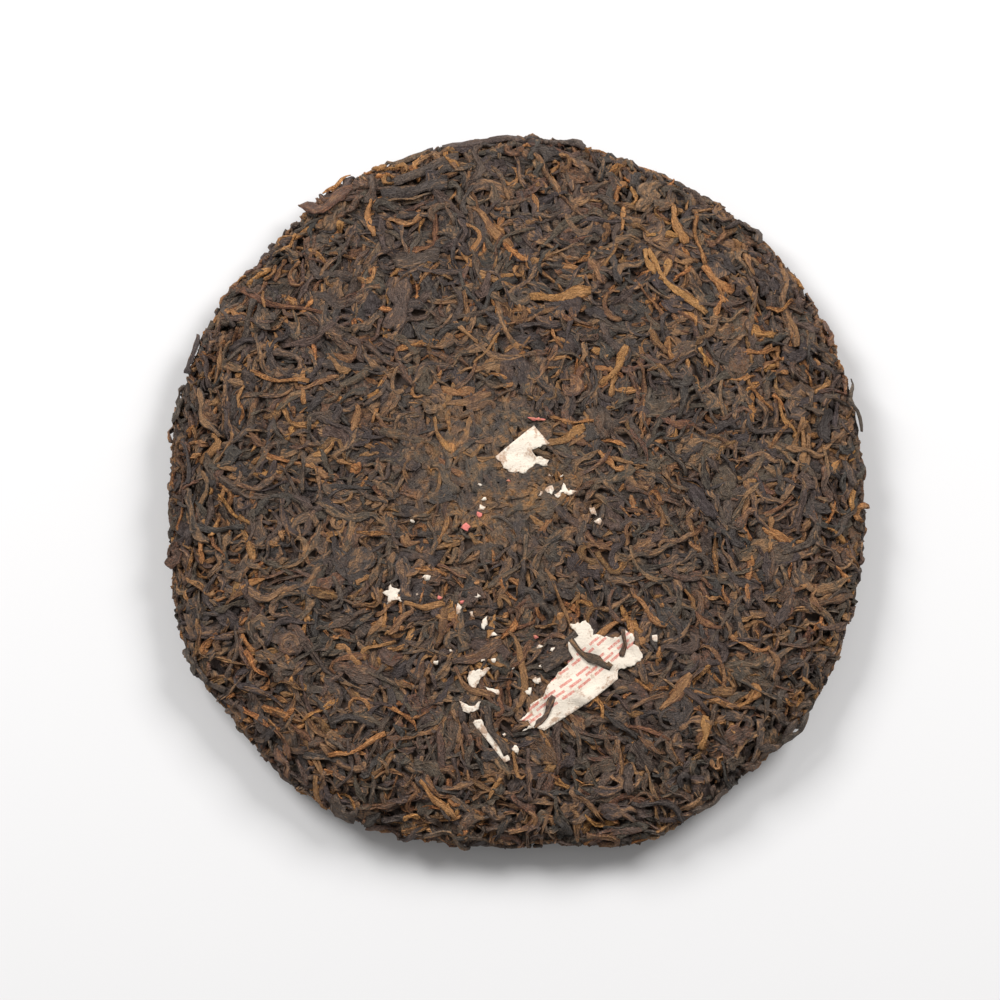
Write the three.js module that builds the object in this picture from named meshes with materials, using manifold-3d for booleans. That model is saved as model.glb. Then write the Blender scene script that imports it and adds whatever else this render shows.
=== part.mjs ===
// A pressed cake of ripe pu erh tea, lying on its back with the face that holds the torn paper ticket up.
// Millimetres, +Z up. X and Y run across the cake, and the origin is under its middle, where it rests.
import * as THREE from "three";
import { mergeVertices } from "three/addons/utils/BufferGeometryUtils.js";
import Module from "manifold-3d";

const wasm = await Module();
wasm.setup();

// The cake's section: a gently domed face, a rounded rim, a flat foot ring and the cloth knot's hollow.
const RIM_RADIUS = 97.5;
const CENTRE_HEIGHT = 23;
const DOME_FALL_POWER = 2.2;
const RIM_BULGE = 13;
const RIM_WAIST_HEIGHT = 8;
const RIM_TOP_RISE = 8.5;
const SHOULDER_TILT = THREE.MathUtils.degToRad(78);
const FOOT_TILT = THREE.MathUtils.degToRad(-45);
const FOOT_LIFT = 0.5;
const FOOT_CURVE = 1.5;
const FLAT_RING_OUTER = 66;
const HOLLOW_RADIUS = 29;
const HOLLOW_DEPTH = 11;

// Where the pressed outline stands out from a circle.
const OUTLINE_BULGES = [
  { atDeg: 290, out: 5.6, spanDeg: 8 },
  { atDeg: 320, out: 6.4, spanDeg: 22 },
  { atDeg: 238, out: 6.4, spanDeg: 17 },
  { atDeg: 206, out: 4.2, spanDeg: 9 },
  { atDeg: 264, out: 1.4, spanDeg: 8 },
  { atDeg: 92, out: 3.6, spanDeg: 14 },
  { atDeg: 120, out: 2.2, spanDeg: 6 },
  { atDeg: 42, out: 3, spanDeg: 22 },
  { atDeg: 150, out: 1.2, spanDeg: 6 },
];
const OUTLINE_SHIFT = { x: -0.4, y: 0 };

// The mesh of the core, and how far the pressed leaves roughen it.
const CORE_ROWS = { face: 10, rim: 6, ring: 4, hollow: 4 };
const CORE_SPACING = 9.6;
const FEWEST_SPOKES = 6;
const RELIEF_DEPTH = 1;

// The leaves that stand out of the core, by where they lie.
const FACE_LEAVES = 77;
const RIM_LEAVES = 36;
const FOOT_LEAVES = 10;
const PLEAT_LEAVES = 7;
const LEAF_LENGTH = { least: 12, most: 21 };
const LEAF_WIDTH = { least: 2.2, most: 4.2 };
const LEAF_STATIONS = 4;
const LEAF_CREST = 0.62;
const LEAF_ROOT = 1.6;
const LEAF_LIFT = { least: 0.4, most: 1.2 };
const LEAF_BEND = THREE.MathUtils.degToRad(70);
const EDGE_TURN = THREE.MathUtils.degToRad(90);

// Leaves and twigs that catch the eye on the face: middle, heading, length, width and bend.
const NOTABLE_LEAVES = [
  { x: -68.5, y: 53, deg: -16, long: 24, wide: 2.4, bendDeg: 10 },
  { x: -65.5, y: 30.5, deg: -9, long: 17.4, wide: 2.2, bendDeg: 4 },
  { x: -54.3, y: 79.6, deg: 25, long: 19, wide: 3.9, bendDeg: 20 },
  { x: -24.4, y: 90.5, deg: 20, long: 20, wide: 3.2, bendDeg: -30 },
  { x: -26.4, y: 82.6, deg: 5, long: 20, wide: 3, bendDeg: -12 },
  { x: -32.3, y: 51, deg: 80, long: 15, wide: 6.4, bendDeg: 16 },
  { x: -27, y: 63.7, deg: 10, long: 13, wide: 5, bendDeg: -20 },
  { x: 13.1, y: 53.4, deg: 8, long: 17.4, wide: 3.4, bendDeg: -8 },
  { x: 56.3, y: 58.2, deg: -47, long: 12.7, wide: 2.2, bendDeg: 12 },
  { x: 46.4, y: 51.6, deg: -38, long: 17.4, wide: 2.2, bendDeg: 8 },
  { x: 75.7, y: 52.6, deg: -76, long: 17, wide: 3.4, bendDeg: 14 },
  { x: 27.6, y: 33.8, deg: 46, long: 13, wide: 2.2, bendDeg: 18 },
  { x: -80.7, y: -12, deg: 3, long: 17.4, wide: 2.4, bendDeg: -6 },
  { x: -38.8, y: -69.5, deg: 25, long: 13, wide: 3, bendDeg: 10 },
  { x: -20.3, y: -84.4, deg: -46, long: 14, wide: 2.8, bendDeg: -14 },
  { x: 43, y: -58.8, deg: 50, long: 12, wide: 2.4, bendDeg: 6 },
  { x: 38.3, y: -23.9, deg: -36, long: 19, wide: 2.2, bendDeg: -18 },
  { x: 2.7, y: -36.6, deg: -43, long: 16.5, wide: 2.4, bendDeg: 20 },
  { x: 72.9, y: -45.3, deg: 36, long: 10, wide: 2.4, bendDeg: 0 },
];

// The torn ticket: thin paper pressed in among the leaves, each scrap by its corners.
const PAPER_THICKNESS = 0.5;
const PAPER_REST = -0.35;
const PAPER_GAP = 0.35;
const PAPER_STEP = 2.6;
const PAPER_WAVE = { height: 0.14, length: 7 };
const PAPER_CLEAR_OF_LEAVES = 2.4;
const SCRAPS = {
  paper_corner: [
    [5.9, 16.8], [9.9, 11.7], [5.3, 10.4], [5.3, 9], [9.6, 6.8], [9.4, 5],
    [6.2, 5.8], [2.7, 3.2], [-1.5, 3.5], [-3.2, 5.2], [-5.1, 8],
  ],
  paper_ticket: [
    [35.2, -46.9], [33.6, -44.3], [32.3, -40.7], [29.6, -39.8], [29.1, -42.6], [25.4, -42],
    [22.2, -41.2], [20.8, -38.1], [16, -38.8], [17.2, -41.8], [15.4, -44.4], [15.1, -48.9],
    [9.9, -54.5], [4.7, -60.9], [1.9, -64.4], [8.4, -67.4], [28.2, -51.8], [29.4, -49.8],
  ],
  paper_strip: [[-11.4, -64.6], [-8.8, -64], [-0.6, -74.5], [-2.6, -76]],
  paper_hook: [[-12.6, -51.4], [-11.2, -52.2], [-6, -50.3], [-8.4, -52.8], [-10.3, -56.3], [-12.3, -55.8]],
  paper_tab: [[-7.4, -55.2], [-3.9, -56.4], [-4.2, -58.1], [-8.3, -56.8]],
  paper_chevron: [[-14.4, -59.2], [-12.1, -60.6], [-9.3, -59.2], [-9.6, -61.6], [-12.1, -62.8]],
  paper_star: [[-34.6, -27.1], [-32.8, -29.4], [-30.9, -30.2], [-32.4, -31], [-35.1, -32.3], [-34.2, -29.8]],
  paper_wave: [[17.2, -1.4], [14.9, -0.4], [13.6, -1.8], [11.4, -3], [12.3, -4.2], [14.6, -2.8]],
};

// Flecks of the same paper, too small to lift off, stuck to the tea: middle, length, width and heading.
const FLAKES = [
  [22.2, -7.3, 2.6, 2.2, 20], [23.6, -10.1, 2.1, 1.5, -40], [0.6, -72.6, 2.4, 2, 60],
  [-8, -38.5, 3.4, 2.1, 80], [-5.6, -41.6, 2, 1.7, 10], [6.8, -54.1, 2.5, 1.9, 50],
  [4.2, -57.3, 2.3, 1.7, 50],
  [38.8, -41.9, 2.3, 1.2, 85], [-24.2, -25.6, 2.6, 1.3, 75], [-13.8, -11.8, 3, 2.3, 70],
  [-10.1, -8.6, 2.5, 2, -20], [-15.8, -34.3, 3.6, 1.5, 80], [-20.5, -31.2, 2, 1.3, 0],
  [-2.3, -36.3, 1.8, 1.6, 30],
];
const FLAKE_LIFT = 0.4;

const WOOD_BROWN = new THREE.MeshStandardMaterial({ color: 0x5b4a3f, roughness: 0.72, metalness: 0 });
const RICE_PAPER = new THREE.MeshStandardMaterial({ color: 0xefe6d8, roughness: 0.85, metalness: 0 });

const FLOOR_DEPTH = 10;
const HALF_TURN = Math.PI;
const FULL_TURN = 2 * Math.PI;
const GOLDEN_TURN = HALF_TURN * (3 - Math.sqrt(5));

// Repeatable random numbers from 0 to 1.
function randomFrom(seed) {
  let state = seed;
  return () => {
    state = (state + 0x6d2b79f5) | 0;
    let mixed = Math.imul(state ^ (state >>> 15), 1 | state);
    mixed = (mixed + Math.imul(mixed ^ (mixed >>> 7), 61 | mixed)) ^ mixed;
    return ((mixed ^ (mixed >>> 14)) >>> 0) / 4294967296;
  };
}

function between(random, { least, most }) {
  return least + (most - least) * random();
}

// How far the outline lies from the middle, at an angle round the cake.
function outlineRadius(angle) {
  const deg = THREE.MathUtils.radToDeg(angle);
  return OUTLINE_BULGES.reduce((radius, bulge) => {
    const apart = THREE.MathUtils.euclideanModulo(deg - bulge.atDeg + 180, 360) - 180;
    return radius + bulge.out * Math.exp(-((apart / bulge.spanDeg) ** 2) / 2);
  }, RIM_RADIUS);
}

// The section's outer curve, as radius and height: face from 0 to 1, rim to 2, foot ring to 3, hollow to 4.
const RIM_CENTRE = RIM_RADIUS - RIM_BULGE;
const SHOULDER = {
  radius: RIM_CENTRE + RIM_BULGE * Math.cos(SHOULDER_TILT),
  height: RIM_WAIST_HEIGHT + RIM_TOP_RISE * Math.sin(SHOULDER_TILT),
};

const FOOT = {
  radius: RIM_CENTRE + RIM_BULGE * Math.cos(FOOT_TILT),
  height: RIM_WAIST_HEIGHT + (RIM_WAIST_HEIGHT - FOOT_LIFT) * Math.sin(FOOT_TILT),
};

function faceHeight(radius) {
  const fall = (Math.min(radius, SHOULDER.radius) / SHOULDER.radius) ** DOME_FALL_POWER;
  return CENTRE_HEIGHT - (CENTRE_HEIGHT - SHOULDER.height) * fall;
}

function footHeight(radius) {
  const share = THREE.MathUtils.clamp((radius - FLAT_RING_OUTER) / (FOOT.radius - FLAT_RING_OUTER), 0, 1);
  return FOOT.height * share ** FOOT_CURVE;
}

function sectionAt(run) {
  if (run <= 1) return { radius: run * SHOULDER.radius, height: faceHeight(run * SHOULDER.radius) };
  if (run <= 2) {
    const tilt = THREE.MathUtils.lerp(SHOULDER_TILT, FOOT_TILT, run - 1);
    const reach = tilt > 0 ? RIM_TOP_RISE : RIM_WAIST_HEIGHT - FOOT_LIFT;
    const radius = RIM_CENTRE + RIM_BULGE * Math.cos(tilt);
    return { radius, height: RIM_WAIST_HEIGHT + reach * Math.sin(tilt) };
  }
  if (run <= 3) {
    const radius = THREE.MathUtils.lerp(FOOT.radius, HOLLOW_RADIUS, run - 2);
    return { radius, height: footHeight(radius) };
  }
  const radius = HOLLOW_RADIUS * (4 - run);
  const rise = Math.cos(((radius / HOLLOW_RADIUS) * HALF_TURN) / 2) ** 2;
  return { radius, height: HOLLOW_DEPTH * rise };
}

// A point of the cake's surface. The outline's bulges fade out towards the middle.
function surfaceAt(angle, run) {
  const { radius, height } = sectionAt(run);
  const share = radius / RIM_RADIUS;
  const reach = radius * (1 + (outlineRadius(angle) / RIM_RADIUS - 1) * share * share);
  return new THREE.Vector3(
    reach * Math.cos(angle) + OUTLINE_SHIFT.x,
    reach * Math.sin(angle) + OUTLINE_SHIFT.y,
    height,
  );
}

// Three flat charts of the surface. Each turns two lengths into a point and the direction out of the cake.
const PROBE = 0.5;

function withNormal(pointAt, u, v) {
  const alongU = pointAt(u + PROBE, v).sub(pointAt(u - PROBE, v));
  const alongV = pointAt(u, v + PROBE).sub(pointAt(u, v - PROBE));
  return { point: pointAt(u, v), out: alongU.cross(alongV).normalize() };
}

function faceChart(u, v) {
  return withNormal((x, y) => surfaceAt(Math.atan2(y, x), Math.hypot(x, y) / SHOULDER.radius), u, v);
}

function rimChart(along, down) {
  const rimLength = ((RIM_BULGE + RIM_TOP_RISE) / 2) * (SHOULDER_TILT - FOOT_TILT);
  return withNormal((u, v) => surfaceAt(-u / RIM_RADIUS, 1.5 + v / rimLength), along, down);
}

function footChart(u, v) {
  const runAt = (radius) => {
    if (radius >= HOLLOW_RADIUS) return 2 + (FOOT.radius - radius) / (FOOT.radius - HOLLOW_RADIUS);
    return 4 - radius / HOLLOW_RADIUS;
  };
  return withNormal((x, y) => surfaceAt(Math.atan2(y, -x), runAt(Math.hypot(x, y))), u, v);
}

function solidOf(geometry) {
  const bare = new THREE.BufferGeometry().setAttribute("position", geometry.getAttribute("position"));
  if (geometry.index) bare.setIndex(geometry.index);
  const merged = mergeVertices(bare, 1e-4);
  return new wasm.Manifold(
    new wasm.Mesh({
      numProp: 3,
      vertProperties: new Float32Array(merged.attributes.position.array),
      triVerts: new Uint32Array(merged.index.array),
    }),
  );
}

function geometryOf(solid) {
  const { numProp, numVert, vertProperties, triVerts } = solid.getMesh();
  const places = new Float32Array(numVert * 3);
  for (let i = 0; i < numVert; i++) places.set(vertProperties.subarray(i * numProp, i * numProp + 3), i * 3);
  const geometry = new THREE.BufferGeometry();
  geometry.setAttribute("position", new THREE.BufferAttribute(places, 3));
  geometry.setIndex(new THREE.BufferAttribute(new Uint32Array(triVerts), 1));
  return geometry;
}

// Triangles between two rings of the core, whichever next point comes first round the cake.
function stitch(outer, inner) {
  const faces = [];
  let [i, j] = [0, 0];
  while (i < outer.length || j < inner.length) {
    const [a, b] = [outer[i % outer.length], inner[j % inner.length]];
    if ((i + 1) / outer.length <= (j + 1) / inner.length) {
      faces.push(a, outer[(i + 1) % outer.length], b);
      i++;
    } else {
      faces.push(a, inner[(j + 1) % inner.length], b);
      j++;
    }
  }
  return faces;
}

// The pressed body of the cake: rings of points down the section, each roughened by the leaves under it.
function coreGeometry() {
  const random = randomFrom(41);
  const middle = new THREE.Vector3(0, 0, RIM_WAIST_HEIGHT);
  const runs = Object.values(CORE_ROWS).flatMap((rows, part) =>
    Array.from({ length: rows }, (_, i) => part + (i + 1) / rows),
  );
  runs.pop();
  const points = [surfaceAt(0, 0)];
  const rings = runs.map((run) => {
    const { radius, height } = sectionAt(run);
    const flat = run > 2 && height < FOOT_LIFT;
    const spokes = Math.max(FEWEST_SPOKES, Math.round((radius * FULL_TURN) / CORE_SPACING));
    return Array.from({ length: spokes }, (_, spoke) => {
      const point = surfaceAt((spoke / spokes) * FULL_TURN, run);
      const inward = flat ? 0 : RELIEF_DEPTH * random();
      return points.push(point.addScaledVector(point.clone().sub(middle).normalize(), -inward)) - 1;
    });
  });
  points.push(surfaceAt(0, 4));
  const [first, last] = [rings[0], rings[rings.length - 1]];
  const faces = first.flatMap((a, i) => [0, a, first[(i + 1) % first.length]]);
  faces.push(...last.flatMap((a, i) => [points.length - 1, last[(i + 1) % last.length], a]));
  for (let row = 0; row + 1 < rings.length; row++) faces.push(...stitch(rings[row + 1], rings[row]));
  return new THREE.BufferGeometry().setFromPoints(points).setIndex(faces);
}

// One leaf: a strip that follows the surface, flat on top where it was pressed and tapered at both ends.
function leafGeometry(chart, { u, v, heading, long, wide, bend, lift }) {
  const step = long / (LEAF_STATIONS - 1);
  let [alongU, alongV] = [u, v];
  const middle = (LEAF_STATIONS - 1) / 2;
  const turnAt = (station) => heading + (bend * (station - middle)) / (LEAF_STATIONS - 1);
  for (let station = 0; station < middle; station++) {
    const share = Math.min(1, middle - station);
    alongU -= share * step * Math.cos(turnAt(station + 0.5));
    alongV -= share * step * Math.sin(turnAt(station + 0.5));
  }
  const points = [];
  for (let station = 0; station < LEAF_STATIONS; station++) {
    const turn = turnAt(station);
    const fromMiddle = Math.abs(station - middle) / middle;
    const half = (wide / 2) * (1 - 0.6 * fromMiddle ** 3);
    const top = lift * (1 - 0.35 * fromMiddle ** 2);
    const crest = half * LEAF_CREST;
    for (const [reach, height] of [[-half, -LEAF_ROOT], [half, -LEAF_ROOT], [crest, top], [-crest, top]]) {
      const { point, out } = chart(alongU - reach * Math.sin(turn), alongV + reach * Math.cos(turn));
      points.push(point.addScaledVector(out, height));
    }
    alongU += step * Math.cos(turnAt(station + 0.5));
    alongV += step * Math.sin(turnAt(station + 0.5));
  }
  const faces = [0, 2, 1, 0, 3, 2];
  for (let station = 0; station + 1 < LEAF_STATIONS; station++) {
    for (let corner = 0; corner < 4; corner++) {
      const [a, b] = [station * 4 + corner, station * 4 + ((corner + 1) % 4)];
      faces.push(a, b, b + 4, a, b + 4, a + 4);
    }
  }
  const last = (LEAF_STATIONS - 1) * 4;
  faces.push(last, last + 1, last + 2, last, last + 2, last + 3);
  return new THREE.BufferGeometry().setFromPoints(points).setIndex(faces);
}

function leafSize(random) {
  return {
    long: between(random, LEAF_LENGTH),
    wide: between(random, LEAF_WIDTH),
    lift: between(random, LEAF_LIFT),
    bend: LEAF_BEND * (random() - 0.5) * 2,
  };
}

function flakes() {
  return FLAKES.map(([u, v, long, wide, deg]) => {
    return { u, v, long, wide, heading: THREE.MathUtils.degToRad(deg), bend: 0, lift: FLAKE_LIFT };
  });
}

function distanceToScraps(x, y) {
  const corners = Object.values(SCRAPS).flat();
  return Math.min(...corners.map(([a, b]) => Math.hypot(a - x, b - y)));
}

function clearOfScraps({ u, v, heading, long, wide }) {
  const ends = [-0.5, -0.25, 0, 0.25, 0.5];
  return ends.every((end) => {
    const [x, y] = [u + end * long * Math.cos(heading), v + end * long * Math.sin(heading)];
    const inside = Object.values(SCRAPS).some((corners) => holds(corners, x, y));
    return !inside && distanceToScraps(x, y) > PAPER_CLEAR_OF_LEAVES + wide / 2;
  });
}

// True where a point lies inside an outline.
function holds(corners, x, y) {
  return corners.reduce((inside, [ax, ay], i) => {
    const [bx, by] = corners[(i + 1) % corners.length];
    const crosses = ay > y !== by > y && x < ((bx - ax) * (y - ay)) / (by - ay) + ax;
    return crosses ? !inside : inside;
  }, false);
}

function farFromNotable({ u, v, wide }) {
  const apart = (x, y, other) => Math.hypot(x - u, y - v) > (other + wide) / 2 + 2;
  const farFromFlakes = FLAKES.every(([x, y, long]) => apart(x, y, long));
  return farFromFlakes && NOTABLE_LEAVES.every((leaf) => apart(leaf.x, leaf.y, leaf.wide + 2));
}

// Leaves on the domed face: the notable ones, then others spread by a golden spiral and running every way.
function faceLeaves() {
  const random = randomFrom(7);
  const notable = NOTABLE_LEAVES.map((leaf) => ({
    u: leaf.x,
    v: leaf.y,
    heading: THREE.MathUtils.degToRad(leaf.deg),
    long: leaf.long,
    wide: leaf.wide,
    lift: LEAF_LIFT.most,
    bend: THREE.MathUtils.degToRad(leaf.bendDeg),
  }));
  const spread = Array.from({ length: FACE_LEAVES }, (_, i) => {
    const radius = SHOULDER.radius * Math.sqrt((i + 0.5) / FACE_LEAVES);
    const angle = i * GOLDEN_TURN;
    const atEdge = radius > SHOULDER.radius * 0.9;
    const heading = atEdge ? angle + EDGE_TURN + (random() - 0.5) : random() * FULL_TURN;
    return { u: radius * Math.cos(angle), v: radius * Math.sin(angle), heading, ...leafSize(random) };
  });
  return [...notable, ...spread.filter((leaf) => farFromNotable(leaf))].filter(clearOfScraps);
}

// Leaves round the rim lie mostly along it, in two staggered rows.
function rimLeaves() {
  const random = randomFrom(19);
  return Array.from({ length: RIM_LEAVES }, (_, i) => ({
    ...leafSize(random),
    u: (i / RIM_LEAVES) * FULL_TURN * RIM_RADIUS,
    v: i % 2 ? -4.4 : 3.2,
    heading: (random() - 0.5) * 0.9,
    bend: 0,
  }));
}

// Under the cake, leaves on the slope outside the flat ring, and pleats pressed by the cloth into the hollow.
function footLeaves() {
  const random = randomFrom(29);
  return Array.from({ length: FOOT_LEAVES }, (_, i) => {
    const angle = ((i + 0.3 * random()) / FOOT_LEAVES) * FULL_TURN;
    const radius = THREE.MathUtils.lerp(FLAT_RING_OUTER, RIM_CENTRE, 0.8);
    const heading = angle + EDGE_TURN + (random() - 0.5);
    const size = { ...leafSize(random), bend: 0 };
    return { ...size, u: radius * Math.cos(angle), v: radius * Math.sin(angle), heading };
  });
}

function pleatLeaves() {
  const random = randomFrom(31);
  return Array.from({ length: PLEAT_LEAVES }, (_, i) => {
    const angle = ((i + 0.4 * random()) / PLEAT_LEAVES) * FULL_TURN;
    const radius = HOLLOW_RADIUS * 0.5;
    const size = { ...leafSize(random), long: 12, bend: 0 };
    return { ...size, u: radius * Math.cos(angle), v: radius * Math.sin(angle), heading: angle };
  });
}

// A scrap's outline with points no further apart than a step, so that the paper can follow the dome.
function closelySpaced(corners, step) {
  return corners.flatMap(([ax, ay], i) => {
    const [bx, by] = corners[(i + 1) % corners.length];
    const parts = Math.max(1, Math.ceil(Math.hypot(bx - ax, by - ay) / step));
    const partWay = (k) => [ax + ((bx - ax) * k) / parts, ay + ((by - ay) * k) / parts];
    return Array.from({ length: parts }, (_, k) => partWay(k));
  });
}

// The outline moved outwards, for the pocket that a scrap lies in.
function grown(corners, by) {
  const clockwise = THREE.ShapeUtils.isClockWise(corners.map(([x, y]) => new THREE.Vector2(x, y)));
  const turn = clockwise ? -1 : 1;
  const count = corners.length;
  const outward = (a, b) => new THREE.Vector2(b[1] - a[1], a[0] - b[0]).normalize().multiplyScalar(turn);
  return corners.map((corner, i) => {
    const before = outward(corners[(i + count - 1) % count], corner);
    const after = outward(corner, corners[(i + 1) % count]);
    const middle = before.clone().add(after).normalize();
    const reach = by / Math.max(0.5, middle.dot(after));
    return [corner[0] + middle.x * reach, corner[1] + middle.y * reach];
  });
}

function paperHeight(x, y) {
  const wave = Math.sin(x / PAPER_WAVE.length) * Math.cos((y / PAPER_WAVE.length) * 1.3);
  return faceHeight(Math.hypot(x, y)) + PAPER_REST + PAPER_WAVE.height * wave;
}

// A sheet between two heights over the face, its top and bottom split into triangles alike.
function sheetGeometry(corners, below, above) {
  const shape = new THREE.Shape(closelySpaced(corners, PAPER_STEP).map(([x, y]) => new THREE.Vector2(x, y)));
  const geometry = new THREE.ExtrudeGeometry(shape, { depth: 1, steps: 1, bevelEnabled: false });
  const places = geometry.getAttribute("position");
  for (let i = 0; i < places.count; i++) {
    const rise = places.getZ(i) > 0.5 ? above : below;
    places.setZ(i, paperHeight(places.getX(i), places.getY(i)) + rise);
  }
  return geometry;
}

function paperMesh(name, corners) {
  const mesh = new THREE.Mesh(sheetGeometry(corners, 0, PAPER_THICKNESS), RICE_PAPER);
  mesh.name = name;
  return mesh;
}

// The core with its leaves joined on, pressed flush underneath, with a shallow pocket under each scrap.
function cakeMesh() {
  let cake = solidOf(coreGeometry());
  const laid = [
    ...faceLeaves().map((leaf) => leafGeometry(faceChart, leaf)),
    ...flakes().map((flake) => leafGeometry(faceChart, flake)),
    ...rimLeaves().map((leaf) => leafGeometry(rimChart, leaf)),
    ...footLeaves().map((leaf) => leafGeometry(footChart, leaf)),
    ...pleatLeaves().map((leaf) => leafGeometry(footChart, leaf)),
  ];
  for (const leaf of laid) cake = cake.add(solidOf(leaf));
  const below = new THREE.BoxGeometry(4 * RIM_RADIUS, 4 * RIM_RADIUS, FLOOR_DEPTH);
  cake = cake.subtract(solidOf(below.translate(0, 0, -FLOOR_DEPTH / 2)));
  for (const corners of Object.values(SCRAPS)) {
    const pocket = sheetGeometry(grown(corners, PAPER_GAP), -PAPER_GAP, PAPER_THICKNESS + RIM_TOP_RISE);
    cake = cake.subtract(solidOf(pocket));
  }
  const [body] = cake.decompose().sort((a, b) => b.volume() - a.volume());
  const mesh = new THREE.Mesh(geometryOf(body), WOOD_BROWN);
  mesh.name = "tea_cake";
  return mesh;
}

const teaCake = new THREE.Group();
teaCake.add(cakeMesh());
for (const [name, corners] of Object.entries(SCRAPS)) teaCake.add(paperMesh(name, corners));

export default teaCake;
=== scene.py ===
# %% [markdown]
# # A cake of ripe pu erh tea
# The object is a flat round cake, about 200 mm across, pressed out of whole dark tea leaves. Scraps of
# its paper ticket are still stuck to the face. The solid cake that physics uses comes in as the frame.
# This notebook lays the real leaves over it, one by one, and gives each kind of leaf its finish. Lengths
# are in millimetres while the leaves are laid, and become metres when a mesh is made.

# %% Load the frame
import math

import bpy
import numpy as np
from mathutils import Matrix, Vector
from mathutils.geometry import delaunay_2d_cdt


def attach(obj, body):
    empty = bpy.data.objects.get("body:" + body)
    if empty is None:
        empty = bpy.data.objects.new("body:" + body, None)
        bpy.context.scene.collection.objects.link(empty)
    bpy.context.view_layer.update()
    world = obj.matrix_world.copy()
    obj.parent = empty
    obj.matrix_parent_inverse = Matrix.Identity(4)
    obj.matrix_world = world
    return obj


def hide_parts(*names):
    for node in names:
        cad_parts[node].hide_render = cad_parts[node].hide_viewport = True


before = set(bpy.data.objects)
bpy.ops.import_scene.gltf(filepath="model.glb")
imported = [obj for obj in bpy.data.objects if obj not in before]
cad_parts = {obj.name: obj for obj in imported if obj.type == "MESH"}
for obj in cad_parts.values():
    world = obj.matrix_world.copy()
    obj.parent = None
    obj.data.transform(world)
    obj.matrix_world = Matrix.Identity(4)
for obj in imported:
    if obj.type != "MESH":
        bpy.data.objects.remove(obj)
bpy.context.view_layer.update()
MM = 0.001

# %% [markdown]
# ## The shape of the cake
# A cloth bag of steamed leaves is pressed between a domed block and a flat one. So the face is a gentle
# dome, the rim is round, the back is a flat ring, and the bag's knot leaves a hollow in it. The section
# could be drawn as a curve and spun. Here it is a formula with the same values as the solid, because the
# leaves need the surface's place and direction at thousands of points, and a formula gives them all at
# once.

# %% Section and outline of the cake
RIM_RADIUS = 97.5
CENTRE_HEIGHT = 23
DOME_FALL_POWER = 2.2
RIM_BULGE = 13
RIM_WAIST_HEIGHT = 8
RIM_TOP_RISE = 8.5
SHOULDER_TILT = math.radians(78)
FOOT_TILT = math.radians(-45)
FOOT_LIFT = 0.5
FOOT_CURVE = 1.5
FLAT_RING_OUTER = 66
HOLLOW_RADIUS = 29
HOLLOW_DEPTH = 11
OUTLINE_SHIFT = (-0.4, 0)
# Points for each of the section's four stretches: the face, the rim, the ring and the hollow.
SECTION_STEPS = 400

# Where the outline stands out from a circle: angle in degrees, how far, and over what angle.
OUTLINE_BULGES = [
    (290, 5.6, 8), (320, 6.4, 22), (238, 6.4, 17), (206, 4.2, 9), (264, 1.4, 8),
    (92, 3.6, 14), (120, 2.2, 6), (42, 3, 22), (150, 1.2, 6),
]

RIM_CENTRE = RIM_RADIUS - RIM_BULGE
SHOULDER_RADIUS = RIM_CENTRE + RIM_BULGE * math.cos(SHOULDER_TILT)
SHOULDER_HEIGHT = RIM_WAIST_HEIGHT + RIM_TOP_RISE * math.sin(SHOULDER_TILT)
FOOT_RADIUS = RIM_CENTRE + RIM_BULGE * math.cos(FOOT_TILT)
FOOT_HEIGHT = RIM_WAIST_HEIGHT + (RIM_WAIST_HEIGHT - FOOT_LIFT) * math.sin(FOOT_TILT)


def outline_stretch(angle):
    """How much further out than a circle the rim lies, at each angle."""
    degrees = np.degrees(angle)
    radius = np.full_like(degrees, RIM_RADIUS)
    for at, out, span in OUTLINE_BULGES:
        apart = (degrees - at + 180) % 360 - 180
        radius += out * np.exp(-((apart / span) ** 2) / 2)
    return radius / RIM_RADIUS - 1


def section_points():
    """The section's curve from the middle of the face, over the rim, to the middle of the back."""
    share = np.linspace(0, 1, SECTION_STEPS)
    face_radius = SHOULDER_RADIUS * share
    face_height = CENTRE_HEIGHT - (CENTRE_HEIGHT - SHOULDER_HEIGHT) * share**DOME_FALL_POWER
    tilt = SHOULDER_TILT + (FOOT_TILT - SHOULDER_TILT) * share
    reach = np.where(tilt > 0, RIM_TOP_RISE, RIM_WAIST_HEIGHT - FOOT_LIFT)
    foot_radius = FOOT_RADIUS + (HOLLOW_RADIUS - FOOT_RADIUS) * share
    foot_share = np.clip((foot_radius - FLAT_RING_OUTER) / (FOOT_RADIUS - FLAT_RING_OUTER), 0, 1)
    hollow_radius = HOLLOW_RADIUS * (1 - share)
    hollow_height = HOLLOW_DEPTH * np.cos(hollow_radius / HOLLOW_RADIUS * math.pi / 2) ** 2
    rim_height = RIM_WAIST_HEIGHT + reach * np.sin(tilt)
    foot_height = FOOT_HEIGHT * foot_share**FOOT_CURVE
    radius = [face_radius, RIM_CENTRE + RIM_BULGE * np.cos(tilt), foot_radius, hollow_radius]
    height = [face_height, rim_height, foot_height, hollow_height]
    return np.concatenate(radius), np.concatenate(height)


SECTION_RADIUS, SECTION_HEIGHT = section_points()
SECTION_RUN = np.concatenate([[0], np.cumsum(np.hypot(np.diff(SECTION_RADIUS), np.diff(SECTION_HEIGHT)))])
SECTION_LENGTH = SECTION_RUN[-1]
RUN_AT_WAIST = float(SECTION_RUN[np.argmax(SECTION_RADIUS)])
print("from the middle of the face to the middle of the back is", round(float(SECTION_LENGTH), 1), "mm")

# %% [markdown]
# ## Two flat charts
# Leaves are easiest to lay on a flat sheet. Two charts do that, one centred on the face and one on the
# back. Each is the cake's skin unrolled: a distance from the chart's middle is the distance walked over
# the cake. They meet at the waist of the rim, where both are true to scale within a few percent. The
# floor holds up what would hang below it, so low heights are squeezed together just above the floor.

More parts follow.
